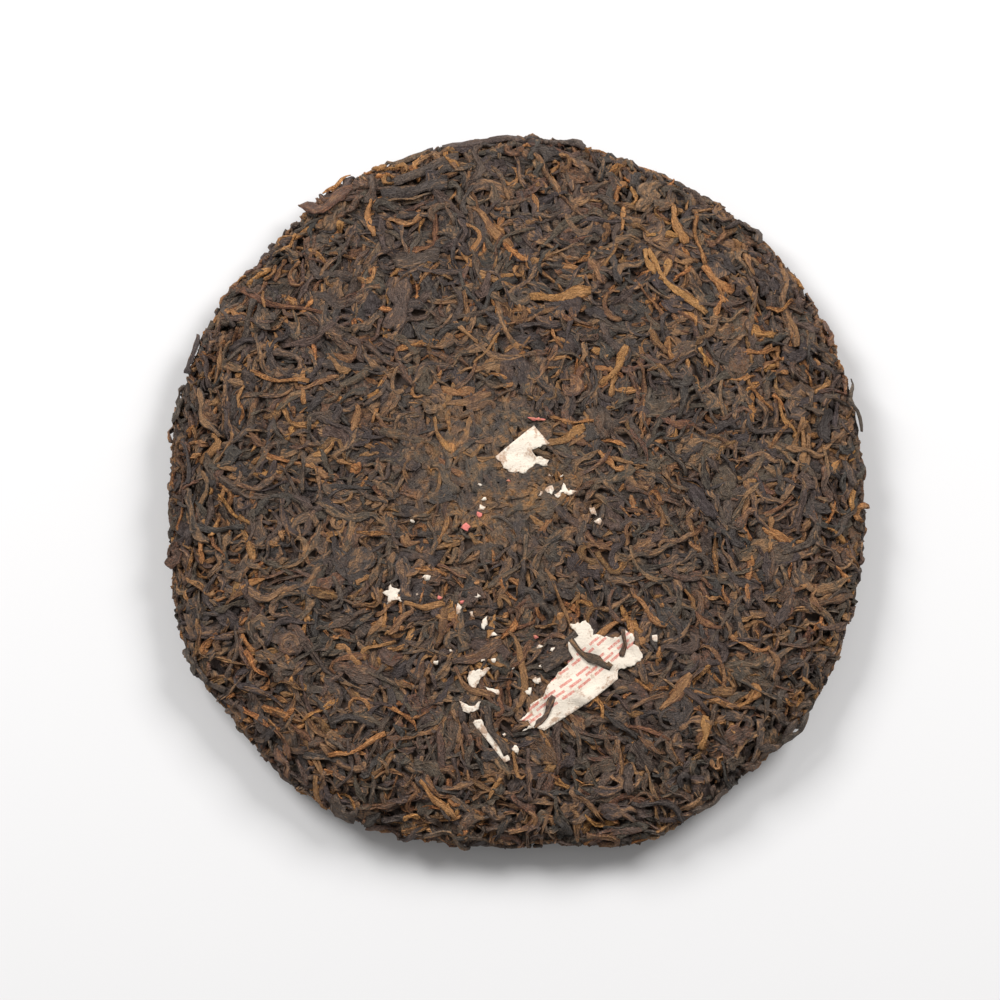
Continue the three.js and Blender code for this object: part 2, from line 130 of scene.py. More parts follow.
# %% From a chart to the cake
FACE, BACK = "face", "back"
CHART_REACH = {FACE: RUN_AT_WAIST, BACK: SECTION_LENGTH - RUN_AT_WAIST}
# Half the stretch of the section over which its direction is measured.
PROBE = 0.4
FLATTENED_OVER = 0.3
# The first points of the section, the face and the upper rim, where it still widens.
WIDENING = slice(0, SECTION_STEPS * 3 // 2)


def skin_point(run, angle):
    """A point of the bare skin, from the distance walked from the middle of the face."""
    radius = np.interp(run, SECTION_RUN, SECTION_RADIUS)
    height = np.interp(run, SECTION_RUN, SECTION_HEIGHT)
    reach = radius * (1 + outline_stretch(angle) * (radius / RIM_RADIUS) ** 2)
    across = reach * np.cos(angle) + OUTLINE_SHIFT[0]
    return np.stack([across, reach * np.sin(angle) + OUTLINE_SHIFT[1], height], axis=-1)


def skin_out(run, angle):
    """The direction out of the cake at a point of its skin."""
    before, after = run - PROBE, run + PROBE
    rise = np.interp(after, SECTION_RUN, SECTION_HEIGHT) - np.interp(before, SECTION_RUN, SECTION_HEIGHT)
    reach = np.interp(after, SECTION_RUN, SECTION_RADIUS) - np.interp(before, SECTION_RUN, SECTION_RADIUS)
    flat = np.hypot(rise, reach) + 1e-9
    sideways, up = -rise / flat, reach / flat
    return np.stack([sideways * np.cos(angle), sideways * np.sin(angle), up], axis=-1)


def flattened(height):
    """Heights over the floor. What would sink through it is pressed flat just above it, in order."""
    low = FLATTENED_OVER * np.exp(np.minimum(height, FLATTENED_OVER) / FLATTENED_OVER - 1)
    return np.where(height < FLATTENED_OVER, low, height)


def onto_cake(side, x, y, rise):
    """Points on a chart, each lifted off the skin by its rise."""
    walked = np.hypot(x, y)
    if side == FACE:
        run, angle = walked, np.arctan2(y, x)
    else:
        run, angle = SECTION_LENGTH - walked, np.arctan2(y, -x)
    places = skin_point(run, angle) + skin_out(run, angle) * rise[..., None]
    places[..., 2] = flattened(places[..., 2])
    return places


def chart_place(x, y):
    """Where a point of the face, seen from straight above, lies on the face's chart."""
    radius = math.hypot(x, y)
    walked = float(np.interp(radius, SECTION_RADIUS[WIDENING], SECTION_RUN[WIDENING]))
    return (x * walked / max(radius, 1e-6), y * walked / max(radius, 1e-6))


print("the charts reach", {side: round(float(reach), 1) for side, reach in CHART_REACH.items()}, "mm")

# %% [markdown]
# ## The bed of leaves
# In the mould the leaves fall on each other and are pressed together. A physics engine could drop ten
# thousand of them, but slowly. Instead a bed keeps the height of everything laid so far on a grid of
# small cells. Each new leaf reads the heights below it, sags onto them as a damp leaf does, and then
# raises the bed by its own thickness. So leaves overlap, bridge gaps and lie across each other as in the
# real cake.

# %% The bed
CELL = 0.4
BED_MARGIN = 12
LEAF_GIVE = 0.3
REST_ON_PEAKS = 0.45
NO_LID = 99.0
SMOOTH_ALONG = np.array([1, 2, 3, 2, 1]) / 9


class Bed:
    """The height of the leaves laid so far over one chart, and the lid that paper makes over some."""

    def __init__(self, side):
        self.side = side
        self.reach = CHART_REACH[side] + BED_MARGIN
        self.cells = int(2 * self.reach / CELL) + 2
        self.height = np.zeros((self.cells, self.cells))
        self.lid = np.full_like(self.height, NO_LID)

    def cell(self, x, y):
        across = np.clip(((x + self.reach) / CELL).astype(int), 0, self.cells - 1)
        along = np.clip(((y + self.reach) / CELL).astype(int), 0, self.cells - 1)
        return across, along

    def settle(self, x, y):
        """How high a leaf lies at each station, from the footprint's heights below it."""
        below = self.height[self.cell(x, y)]
        support = REST_ON_PEAKS * below.max(axis=1) + (1 - REST_ON_PEAKS) * below.mean(axis=1)
        padded = np.concatenate([support[:1], support[:1], support, support[-1:], support[-1:]])
        eased = np.convolve(padded, SMOOTH_ALONG, "valid")
        return np.maximum(eased, support - LEAF_GIVE)

    def raise_to(self, x, y, top):
        np.maximum.at(self.height, self.cell(x, y), top)

    def seen(self, leaf, slack=0.25):
        """The share of a leaf that nothing later has covered."""
        x, y, top = leaf["foot"]
        cells = self.cell(x, y)
        open_above = (self.lid[cells] == NO_LID) | (not leaf["lidded"])
        return float(np.mean((self.height[cells] <= top + slack) & open_above))

    def eased(self, spread):
        """The bed's height averaged over about that many millimetres."""
        cells = max(1, int(spread / CELL))
        field = self.height
        for _ in range(2):
            for axis in (0, 1):
                field = sliding_mean(field, cells, axis)
        return field


def sliding_mean(field, cells, axis):
    """The mean of a field over a window of cells along one axis."""
    padding = [(0, 0), (0, 0)]
    padding[axis] = (cells, cells)
    total = np.cumsum(np.pad(field, padding, mode="edge"), axis=axis)
    length = total.shape[axis]
    after = np.take(total, range(2 * cells, length), axis=axis)
    before = np.take(total, range(0, length - 2 * cells), axis=axis)
    return (after - before) / (2 * cells)


print("the face's bed has", Bed(FACE).cells, "cells a side, each", CELL, "mm wide")

# %% [markdown]
# ## One leaf
# Fermented leaves are rolled and twisted into ropes, and some are torn flat. Each is a strip that sways,
# often hooked at an end, and turns about itself so that it looks wide in one place and narrow in another.
# It could be modelled by hand and copied, but copies show. So a leaf is described by a few numbers, such
# as length, width, bend, hook and twist, drawn at random within the range of its kind.

# %% Leaf paths and footprints
ACROSS = np.array([-0.8, -0.4, 0.0, 0.4, 0.8])
CREST = np.array([0.5, 0.88, 1.0, 0.88, 0.5])
TWIST_SWELL = 0.32
TUCK_POWER = 5
# A hook starts this far past the middle of a leaf, and a loose end this far along its half.
HOOK_FROM = 0.12
FLARE_FROM = 0.3
NARROWEST_END = 0.14
# How fast a leaf's heading and its edges waver along it.
SWAY_RIPPLE = 9
EDGE_RIPPLES = (23, 11)


def leaf_path(x, y, heading, long, bend, sway, hook, kink, stations):
    """The leaf's middle line on the chart, and its heading at each station."""
    share = np.linspace(-0.5, 0.5, stations)
    hooked = hook * np.clip((share - HOOK_FROM) / (0.5 - HOOK_FROM), 0, 1) ** 1.5
    kinked = kink[1] * np.clip((share - kink[0]) * stations, 0, 1)
    swayed = sway[0] * np.sin(share * 2 * math.pi) + sway[1] * np.sin(share * SWAY_RIPPLE + 1)
    turn = heading + bend * share + swayed + hooked + kinked
    step = long / (stations - 1)
    along_x = np.concatenate([[0], np.cumsum(np.cos((turn[1:] + turn[:-1]) / 2))]) * step
    along_y = np.concatenate([[0], np.cumsum(np.sin((turn[1:] + turn[:-1]) / 2))]) * step
    return x + along_x - along_x.mean(), y + along_y - along_y.mean(), turn


def leaf_body(share, wide, thick, blunt, skew, twist):
    """Half the width and the thickness at each station. Ends taper, and a twist trades one for the other."""
    away = np.abs(share * 2 - skew) / (1 + abs(skew))
    taper = np.clip(1 - (1 - blunt) * away**3, NARROWEST_END, 1)
    swell = TWIST_SWELL * np.cos(twist[0] + twist[1] * share)
    return wide / 2 * taper * (1 + swell), thick * np.sqrt(taper) * (1 - swell)


def woven(share, dip, tuck):
    """How far a leaf dives among its neighbours, in waves along it and at its two ends."""
    deep, waves, phase = dip
    return deep * (0.5 - 0.5 * np.cos(share * waves + phase)) + tuck * np.abs(share * 2) ** TUCK_POWER


def flared(share, flare):
    """How far a loose leaf stands off the cake: all of it, and each end further."""
    whole, start, end = flare
    first = np.clip((-share * 2 - FLARE_FROM) / (1 - FLARE_FROM), 0, 1) ** 2
    last = np.clip((share * 2 - FLARE_FROM) / (1 - FLARE_FROM), 0, 1) ** 2
    return whole + start * first + end * last


def footprint(path_x, path_y, turn, half):
    """Points across the leaf at every station, for reading and raising the bed."""
    x = path_x[:, None] - np.sin(turn)[:, None] * half[:, None] * ACROSS
    y = path_y[:, None] + np.cos(turn)[:, None] * half[:, None] * ACROSS
    return x, y


def halfway(rows):
    """The rows with the middle of each pair set between them, so that a footprint has no holes."""
    filled = np.empty((2 * len(rows) - 1,) + rows.shape[1:])
    filled[::2] = rows
    filled[1::2] = (rows[1:] + rows[:-1]) / 2
    return filled


def lay_leaf(bed, kind, x, y, heading, long, wide, thick, bend, sway, blunt, twist, flare, uneven, tone, hue,
             hook=0.0, kink=(0.0, 0.0), skew=0.0, dip=(0.0, 1.0, 0.0), tuck=0.0, lidded=True):
    """Lays one leaf on the bed and returns what its mesh needs."""
    stations = stations_of(bed.side, kind)
    share = np.linspace(-0.5, 0.5, stations)
    path_x, path_y, turn = leaf_path(x, y, heading, long, bend, sway, hook, kink, stations)
    half, body = leaf_body(share, wide, thick, blunt, skew, twist)
    ripple = np.sin(share * EDGE_RIPPLES[0] + twist[0] * 3) * np.cos(share * EDGE_RIPPLES[1] + dip[2])
    half = half * (1 + uneven * ripple)
    foot_x, foot_y = footprint(path_x, path_y, turn, half)
    under = bed.settle(foot_x, foot_y) - woven(share, dip, tuck)
    top = under[:, None] + body[:, None] * CREST
    bed.raise_to(halfway(halfway(foot_x)), halfway(halfway(foot_y)), halfway(halfway(top)))
    return {
        "kind": kind, "x": path_x, "y": path_y, "turn": turn, "half": half, "under": under, "body": body,
        "flare": flared(share, flare), "foot": (foot_x, foot_y, top), "long": long,
        "tone": tone, "hue": hue, "lidded": lidded,
    }


print("a leaf is read and laid at", len(ACROSS), "places across its width")

# %% [markdown]
# ## Kinds of leaf
# The face is a dark mass of twisted ropes and torn flat leaf, with ochre tips and strips among them, a
# few stems, and crumbs in the gaps. Every kind has its own range of sizes. Broad leaves go in early, as a
# dark ground, and the thin bright ones late, because those show on top in the real cake.

# %% Sizes and shares of each kind
# How long, wide and thick, how blunt the ends are, and how many rings of points a leaf has.
KINDS = {
    "dark_ropes": ((7, 22), (1.1, 3.0), (0.6, 1.1), (0.4, 0.9), 10),
    "umber_ropes": ((7, 20), (1.0, 2.7), (0.6, 1.1), (0.4, 0.9), 10),
    "grey_ropes": ((7, 20), (1.1, 3.0), (0.5, 1.0), (0.4, 0.9), 10),
    "ochre_strips": ((5, 15), (0.9, 2.4), (0.5, 0.9), (0.4, 0.9), 9),
    "golden_tips": ((4, 11), (1.0, 2.0), (0.5, 0.9), (0.2, 0.5), 8),
    "torn_leaves": ((5, 15), (2.8, 7.0), (0.4, 0.7), (0.5, 0.9), 9),
    "stems": ((8, 22), (0.8, 1.3), (0.7, 1.0), (0.7, 0.95), 8),
    "fibres": ((4, 14), (0.35, 0.75), (0.3, 0.5), (0.2, 0.7), 8),
    "crumbs": ((1.2, 4.0), (0.5, 1.6), (0.3, 0.6), (0.3, 0.9), 4),
}
# The share of each kind in every layer, from the bottom of the bed to the top.
LAYER_SHARES = [
    {
        "dark_ropes": 30, "umber_ropes": 28, "grey_ropes": 8, "ochre_strips": 4, "torn_leaves": 26,
        "crumbs": 4,
    },
    {
        "dark_ropes": 31, "umber_ropes": 26, "grey_ropes": 9, "ochre_strips": 8, "golden_tips": 2,
        "torn_leaves": 13, "stems": 1, "fibres": 4, "crumbs": 6,
    },
    {
        "dark_ropes": 27, "umber_ropes": 24, "grey_ropes": 9, "ochre_strips": 12, "golden_tips": 2,
        "torn_leaves": 10, "stems": 1, "fibres": 4, "crumbs": 11,
    },
]
LEAVES_PER_LAYER = {FACE: 2400, BACK: 1350}
STATION_SHARE = {FACE: 1.0, BACK: 0.75}


def stations_of(side, kind):
    """How many rings of points a leaf of this kind has."""
    return round(KINDS[kind][-1] * STATION_SHARE[side])


print("rings of points:", {kind: stations_of(FACE, kind) for kind in KINDS})

# %% [markdown]
# ## How the leaves lie in each place
# Near the rim many leaves run along it, and they stand loose there, because only the cloth held them. In
# the middle of the face the block ground them into one smooth film. A map painted by hand could say where
# each of these holds. Both places are round, though, so a formula of the distance is enough.

# %% Where the leaves lie closer, looser or flatter
RIM_FROM = 78
RIM_WIDTH = 20
TANGENT_PULL = 0.35
TANGENT_SPREAD = 0.4
GRAIN_LENGTH = 24
GRAIN_SWIRLS = (1.7, 1.9)
HEADING_SPREAD = 0.8
HEART_AT = (-8, 3)
HEART_RADIUS = 23
HEART_STRENGTH = 1.4


def grain_heading(random, x, y, walked):
    """Leaves lie every way, but neighbours often share a way, and near the rim they run along it."""
    one_way, other_way = GRAIN_SWIRLS
    swirl = one_way * math.sin(x / GRAIN_LENGTH + 0.6)
    swirl += other_way * math.cos(y / GRAIN_LENGTH * 1.2 + x / 60)
    heading = swirl + random.normal(0, HEADING_SPREAD)
    if walked > RIM_FROM and random.random() < TANGENT_PULL:
        heading = math.atan2(y, x) + math.pi / 2 + random.normal(0, TANGENT_SPREAD)
    return heading


def looseness(walked):
    """From 0 where the block pressed hard to 1 at the rim, where only the cloth held the leaves."""
    return np.clip((walked - RIM_FROM) / RIM_WIDTH, 0, 1)


def heart(side, x, y):
    """From 0 to 1 in the middle of the face, where the block pressed the leaves into one smooth film."""
    away = np.hypot(np.asarray(x) - HEART_AT[0], np.asarray(y) - HEART_AT[1])
    return np.clip(HEART_STRENGTH * np.exp(-((away / HEART_RADIUS) ** 2)), 0, 1) * (side == FACE)


print("at 90 mm from the middle the leaves are loose by", float(looseness(90)))

# %% Draw one leaf at random
HOOKED_SHARE = 0.36
HOOK_SPREAD = 2.2
KINKED_SHARE = 0.42
BEND_SPREAD = 0.8
CURLED_SHARE = 0.06
CURLED_BEND = 5.0
SWAY_SPREADS = (0.3, 0.17)
DEEPEST_DIP = 0.9
TUCKED_END = 0.7
LIFTED_SHARE = 0.15
USUAL_LIFT = 0.5
USUAL_FLARE = 0.25
LARGEST_FLARE = 1.2
STIFF_KINDS = ("stems", "golden_tips", "crumbs")
STIFF_BEND = 0.3
FULL_TURN = 6.3


def within(limits, share):
    """The number that lies at a share of the way between two limits."""
    return limits[0] + (limits[1] - limits[0]) * share


def draw_leaf(random, kind, x, y, walked):
    """The random numbers of one leaf of a kind."""
    long, wide, thick, blunt, _ = KINDS[kind]
    supple = STIFF_BEND if kind in STIFF_KINDS else 1.0
    hook = random.normal(0, HOOK_SPREAD) if random.random() < HOOKED_SHARE else 0.0
    kink = random.normal(0, BEND_SPREAD) if random.random() < KINKED_SHARE else 0.0
    bend = random.normal(0, BEND_SPREAD)
    if random.random() < CURLED_SHARE:
        bend = CURLED_BEND
    loose = float(looseness(walked))
    lift = USUAL_LIFT if random.random() < LIFTED_SHARE else 0.0
    return {
        "heading": grain_heading(random, x, y, walked),
        "long": within(long, random.beta(1.3, 2.6)),
        "wide": within(wide, random.beta(1.3, 2.2)),
        "thick": random.uniform(*thick),
        "blunt": random.uniform(*blunt),
        "bend": bend * supple,
        "sway": [random.normal(0, spread) * supple for spread in SWAY_SPREADS],
        "hook": hook * supple,
        "kink": (random.uniform(-0.3, 0.3), kink * supple),
        "skew": random.uniform(-0.4, 0.4),
        "twist": (random.uniform(0, FULL_TURN), random.uniform(2, 14)),
        "dip": (random.uniform(0, DEEPEST_DIP), random.uniform(3, 9), random.uniform(0, FULL_TURN)),
        "tuck": random.uniform(0, TUCKED_END),
        "flare": np.minimum(random.exponential([lift, USUAL_FLARE, USUAL_FLARE]), LARGEST_FLARE) * loose,
        "uneven": random.uniform(0, 0.25),
        "tone": random.random(),
        "hue": random.random(),
    }


example = draw_leaf(np.random.default_rng(0), "dark_ropes", 0, 0, 0)
print("one dark rope is", round(example["long"], 1), "mm long and", round(example["wide"], 1), "mm wide")

# %% [markdown]
# ## A layer of leaves
# Places drawn purely at random would leave bald spots and piles. A golden spiral spreads them evenly, a
# little jitter hides the spiral, and the order is shuffled so that no side of the cake lies over another.

# %% Scatter a layer
OVER_THE_WAIST = 1.5
FLAT_IN_HEART = 3.0


def scatter_layer(random, bed, count, shares):
    """One layer of leaves, spread evenly over a chart by a jittered golden spiral, in random order."""
    names = list(shares)
    reach = CHART_REACH[bed.side] + OVER_THE_WAIST
    golden = math.pi * (3 - math.sqrt(5))
    laid = []
    for place in random.permutation(count):
        walked = reach * math.sqrt((place + 0.5) / count)
        angle = place * golden
        x = walked * math.cos(angle) + random.normal(0, 1)
        y = walked * math.sin(angle) + random.normal(0, 1)
        more_flat = 1 + FLAT_IN_HEART * heart(bed.side, x, y)
        weights = np.array([shares[name] * (more_flat if name == "torn_leaves" else 1) for name in names])
        kind = names[int(random.choice(len(names), p=weights / weights.sum()))]
        laid.append(lay_leaf(bed, kind, x, y, **draw_leaf(random, kind, x, y, walked)))
    return laid


print("leaves in a layer:", LEAVES_PER_LAYER)

# %% [markdown]
# ## Scraps of the ticket
# The ticket was a square of thin paper, pressed in with the leaves. It has torn, and what is left sits in
# the face like a skin, with leaves across it. Cloth simulation could drape it. But the bed already knows
# the heights below, so each scrap takes them, smoothed over a few millimetres as paper does, and then
# raises the bed, and later leaves lie on top of it.

# %% Outlines of the scraps, from above
SCRAPS = {
    "paper_corner": [
        (-5.1, 8), (0.2, 12.4), (5.7, 16.8), (7.6, 14.5), (10, 11.6), (6.8, 10.5), (5.2, 9.4), (6.5, 8.2),
        (9.6, 6.8), (9.5, 5.1), (7.7, 5.7), (6.2, 5.9), (5, 5), (2.8, 3.1), (1, 3.7), (-1.3, 3.4),
        (-2.1, 4.5), (-3.2, 5.1), (-3.6, 6.5),
    ],
    "paper_ticket": [
        (8.4, -67.4), (28.2, -52.7), (28.4, -50.6), (33.2, -49.1), (35.3, -46.9), (34.2, -44.2),
        (32.7, -43.3), (32.9, -40.9), (31.6, -40.5), (30.1, -39.6), (29.3, -41.4), (27.1, -42),
        (24.1, -41.4), (21.9, -41.1), (21.3, -38.7), (19.6, -37.5), (15.1, -38.5), (17.2, -41.1),
        (15.1, -42.2), (15.1, -44.6), (15.5, -46.3), (14.6, -49.2), (11.6, -52.3), (9.5, -54.9),
        (8.2, -58.3), (4.7, -60.5), (3.9, -63), (1.5, -64.8), (3.9, -65), (4.7, -66.1), (2.2, -68),
        (5.6, -66.5),
    ],
    "paper_strip": [
        (-11.4, -64.8), (-8.8, -64.1), (-8.2, -65.7), (-0.8, -74.9), (-2.4, -76), (-9.9, -66.5),
    ],
    "paper_hook": [
        (-12.3, -51.5), (-5.8, -50.2), (-9.5, -53.6), (-10.3, -56.4), (-11.8, -56), (-12.7, -53.2),
    ],
    "paper_tab": [(-8, -55.5), (-3.9, -56.6), (-4.1, -57.9), (-6.5, -57.7)],
    "paper_chevron": [
        (-14.6, -59.2), (-11.8, -60.7), (-9, -59.2), (-9.7, -61.3), (-12.5, -62.6), (-13.8, -61.6),
    ],
    "paper_star": [
        (-34, -26.4), (-33.1, -28.6), (-31.2, -28.9), (-32, -30.6), (-30.6, -32.2), (-33, -31.6),
        (-34.9, -33), (-34.6, -30.8), (-36.2, -29.8), (-34.6, -28.9),
    ],
    "paper_wave": [
        (11.5, -2.5), (13.2, -1.8), (13.9, 0.6), (15.2, -1.4), (17.7, -1.8), (15.4, -2.9), (13.8, -1.9),
        (12.2, -3.6),
    ],
}
# The edges that were cut, counted from the first corner. The others are torn.
CUT_EDGES = {"paper_ticket": (0,), "paper_corner": (0, 1, 2, 3), "paper_strip": (2, 4)}
print("scraps of paper:", {name: f"{len(corners)} corners" for name, corners in SCRAPS.items()})

# %% Tear and drape a scrap
PAPER_THICK = 0.16
PAPER_MESH = 0.7
PAPER_BRIDGES = 1.4
PAPER_RISE = 0.25
LID_CLEARANCE = 0.08
TEAR_STEP = 0.6
TEAR_DEPTH = 0.16


def torn_outline(random, corners, cut_edges):
    """A scrap's outline with small tears, apart from the edges that were cut."""
    outline = []
    for place, corner in enumerate(corners):
        start, end = np.array(corner), np.array(corners[(place + 1) % len(corners)])
        parts = max(1, int(np.hypot(*(end - start)) / TEAR_STEP))
        for part in range(parts):
            loose = 0.0 if place in cut_edges else TEAR_DEPTH
            outline.append(start + (end - start) * part / parts + random.normal(0, loose, 2))
    return np.array(outline)


def inside(outline, x, y):
    """True for each point that an outline holds."""
    held = np.zeros(x.shape, bool)
    for (ax, ay), (bx, by) in zip(outline, np.roll(outline, -1, axis=0)):
        spans = (ay > y) != (by > y)
        held ^= spans & (x < (bx - ax) * (y - ay) / (by - ay + 1e-12) + ax)
    return held


def covered_places(outline, step):
    """The places of a grid of some step that an outline holds, as x and y."""
    low, high = outline.min(axis=0), outline.max(axis=0)
    x, y = np.meshgrid(np.arange(low[0], high[0], step), np.arange(low[1], high[1], step))
    return np.stack([x, y], axis=-1)[inside(outline, x, y)]


def onto_chart(places):
    """Where many points of the face, seen from straight above, lie on its chart."""
    return np.array([chart_place(*place) for place in places]).T


def lay_scrap(bed, random, name, corners):
    """Drapes one scrap on the bed. Returns its points, triangles and heights, and how far the edge is."""
    outline = torn_outline(random, corners, CUT_EDGES.get(name, ()))
    inner = covered_places(outline, PAPER_MESH)
    inner = inner + random.normal(0, PAPER_MESH / 10, inner.shape)
    points = [Vector(point) for point in np.concatenate([outline, inner])]
    edges = [(place, (place + 1) % len(outline)) for place in range(len(outline))]
    made = delaunay_2d_cdt(points, edges, [], 1, 1e-4)
    flat = np.array([tuple(point) for point in made[0]])
    x, y = onto_chart(flat)
    rest = bed.eased(PAPER_BRIDGES) + PAPER_RISE
    under = rest[bed.cell(x, y)]
    cells = bed.cell(*onto_chart(covered_places(outline, CELL / 2)))
    bed.height[cells] = rest[cells] + PAPER_THICK
    bed.lid[cells] = rest[cells] - LID_CLEARANCE
    to_edge = np.min(np.hypot(*(flat[:, None] - outline[None]).transpose(2, 0, 1)), axis=1)
    faces = np.array(made[2])
    return {
        "name": name, "flat": flat, "x": x, "y": y, "under": under, "faces": faces, "to_edge": to_edge,
    }


corner = np.array(SCRAPS["paper_corner"])
print("the corner scrap covers", round(len(covered_places(corner, CELL)) * CELL**2), "square mm")

# %% [markdown]
# ## Leaves that catch the eye
# The photo shows some leaves and twigs that anyone would point at: a reddish twig at the upper left, a
# bright tan one at the right, rolls along the top edge. They are listed one by one, from above, as kind, x,
# y, direction in degrees, length, width, bend in degrees and tone. They are laid after the layers, so that
# they lie on top.

# %% Leaves listed one by one
NOTABLE = [
    ("stems", -66.5, 52.5, -18, 27, 1.8, 8, 0.3),
    ("ochre_strips", -65.5, 30.5, -9, 17.4, 1.4, 4, 0.5),
    ("dark_ropes", -24.4, 89, 22, 20, 3.2, -30, 0.5),
    ("dark_ropes", -8, 96, 4, 24, 3.4, -16, 0.45),
    ("grey_ropes", -27.5, 83.4, 9, 19, 3.8, -10, 0.5),
    ("umber_ropes", -39.5, 83.8, 88, 10, 2.6, 6, 0.35),
    ("torn_leaves", -32.3, 51, 80, 15, 6.4, 16, 0.6),
    ("torn_leaves", -27, 63.7, 10, 13, 4.4, -20, 0.5),
    ("ochre_strips", -39.6, 75, -84, 11, 1.6, 25, 0.9),
    ("ochre_strips", 13.1, 53.4, 8, 17.4, 2.8, -8, 0.7),
    ("golden_tips", 44.5, 56.6, -47, 25, 1.9, 12, 0.7),
    ("golden_tips", 56.2, 57.6, -41, 11.5, 2.3, 8, 0.6),
    ("golden_tips", 37.6, 62.8, -66, 8, 1.7, 10, 0.7),
    ("ochre_strips", 42.2, 60.4, 68, 6.5, 2.0, 8, 0.7),
    ("ochre_strips", 51.1, 69.4, -80, 15.8, 1.3, 8, 0.5),
    ("ochre_strips", 45.6, 73, -70, 11.5, 2.3, 10, 0.8),
    ("umber_ropes", 75.7, 50.1, -81, 23, 2.6, 14, 0.7),
    ("golden_tips", 68.8, 42.8, -15, 6.6, 2.6, 4, 0.4),
    ("ochre_strips", 28.4, 33.4, 57, 13.5, 2.2, 18, 0.7),
    ("stems", -7.4, 38.4, 50, 11.3, 0.9, 2, 0.7),
    ("ochre_strips", 17.6, 18, -1, 9.7, 0.9, 0, 0.6),
    ("ochre_strips", -20.4, 14, -64, 11.5, 1.4, 15, 0.7),
    ("ochre_strips", -15.6, 26.4, -3, 9.5, 2.6, 5, 0.6),
    ("umber_ropes", -12.5, 24, 14, 13, 2.2, -10, 0.9),
    ("golden_tips", -2.3, -36.3, 40, 2, 1.4, 0, 1),
    ("golden_tips", -10.2, -27.2, 20, 1.6, 1, 0, 1),
    ("grey_ropes", -82.4, -11.5, 0, 15, 2, -6, 0.4),
    ("ochre_strips", -24.6, -33.2, -2, 11.5, 1.7, 4, 0.8),
    ("ochre_strips", -20.7, -84.4, -46, 14, 1.6, -14, 0.8),
    ("golden_tips", -41.7, -69.7, 20, 16, 1.5, 10, 0.6),
    ("dark_ropes", -86.4, -48.4, -47, 23, 1.9, 60, 0.5),
    ("ochre_strips", 14.5, 13.6, 25, 12.4, 2.6, 6, 0.7),
    ("torn_leaves", -10, -46.6, 22, 15, 3, 6, 0.9),
    ("umber_ropes", 1.5, -51.5, -85, 24, 1.7, -100, 0.95),
    ("umber_ropes", 44, -56, 50, 13, 2.6, 0, 0.9),
    ("golden_tips", 51, -66, 80, 9, 2.2, 6, 0.7),
]
# Leaves that stand off the rim, with how far in mm after the tone, and how much further at the first end.
OFF_RIM = [
    ("dark_ropes", -47, 86, 58, 9, 3.2, 20, 0.3, 0.4),
    ("golden_tips", -49.5, 86, 33, 10, 1.2, -30, 0.5, 0.9),
    ("umber_ropes", -52, 80, 12, 19, 4.0, 24, 0.58, 0.7, 2.4),
    ("dark_ropes", -63, 77, -50, 5, 1.5, 160, 0.35, 0.9),
    ("ochre_strips", -37.5, 90, 2, 5, 2.6, 0, 0.7, 0.8),
    ("dark_ropes", 70, -66, 38, 15, 2.8, 20, 0.5, 1.0),
    ("dark_ropes", 75, -64, 46, 12, 2.4, -30, 0.4, 1.6),
    ("umber_ropes", 64, -72, 34, 10, 2.6, 30, 0.5, 1.0),
    ("dark_ropes", 52, -83, 30, 12, 2.6, -20, 0.5, 1.0),
    ("umber_ropes", 87, 43, 96, 9, 2.8, 20, 0.6, 0.6),
    ("dark_ropes", 94.5, 24, -82, 18, 1.7, 12, 0.55, 1.3),
    ("dark_ropes", 66, 71, 112, 9, 2.8, -20, 0.5, 0.7),
    ("dark_ropes", 16.5, 96, 160, 9, 3.2, 40, 0.5, 0.6),
    ("dark_ropes", -95, 22, 62, 9, 2.8, 24, 0.4, 0.6),
    ("dark_ropes", -87, -47, 100, 9, 2.8, 24, 0.4, 0.7),
    ("umber_ropes", -61, -73, 118, 9, 2.8, -24, 0.6, 0.6),
]
# Dark leaves that lie across the scraps of paper.
OVER_PAPER = [
    ("dark_ropes", 20.2, -46.1, -33, 15, 2.2, 12, 0.7),
    ("dark_ropes", 8.7, -62.5, 60, 10.5, 1.8, 10, 0.6),
    ("umber_ropes", 30.1, -43.3, 86, 7.5, 1.5, 6, 0.5),
    ("torn_leaves", 11.2, -47.6, 35, 9, 5.2, 6, 0.5),
    ("dark_ropes", 13.4, -42.6, 20, 9, 1.8, 40, 0.5),
    ("dark_ropes", -5.2, -67.4, -64, 15, 2.4, 14, 0.5),
    ("umber_ropes", -11.5, -55, -35, 15, 1.7, 50, 0.8),
]
print("leaves placed by hand:", len(NOTABLE) + len(OFF_RIM) + len(OVER_PAPER))

# %% [markdown]
# ## Flecks of paper
# Crumbs of the ticket are left where the rest was torn off, most of them white and a few pink. They could
# be dots, but torn paper has corners. Each is a shape of six corners at uneven distances, laid on the bed
# in the same way as the scraps.

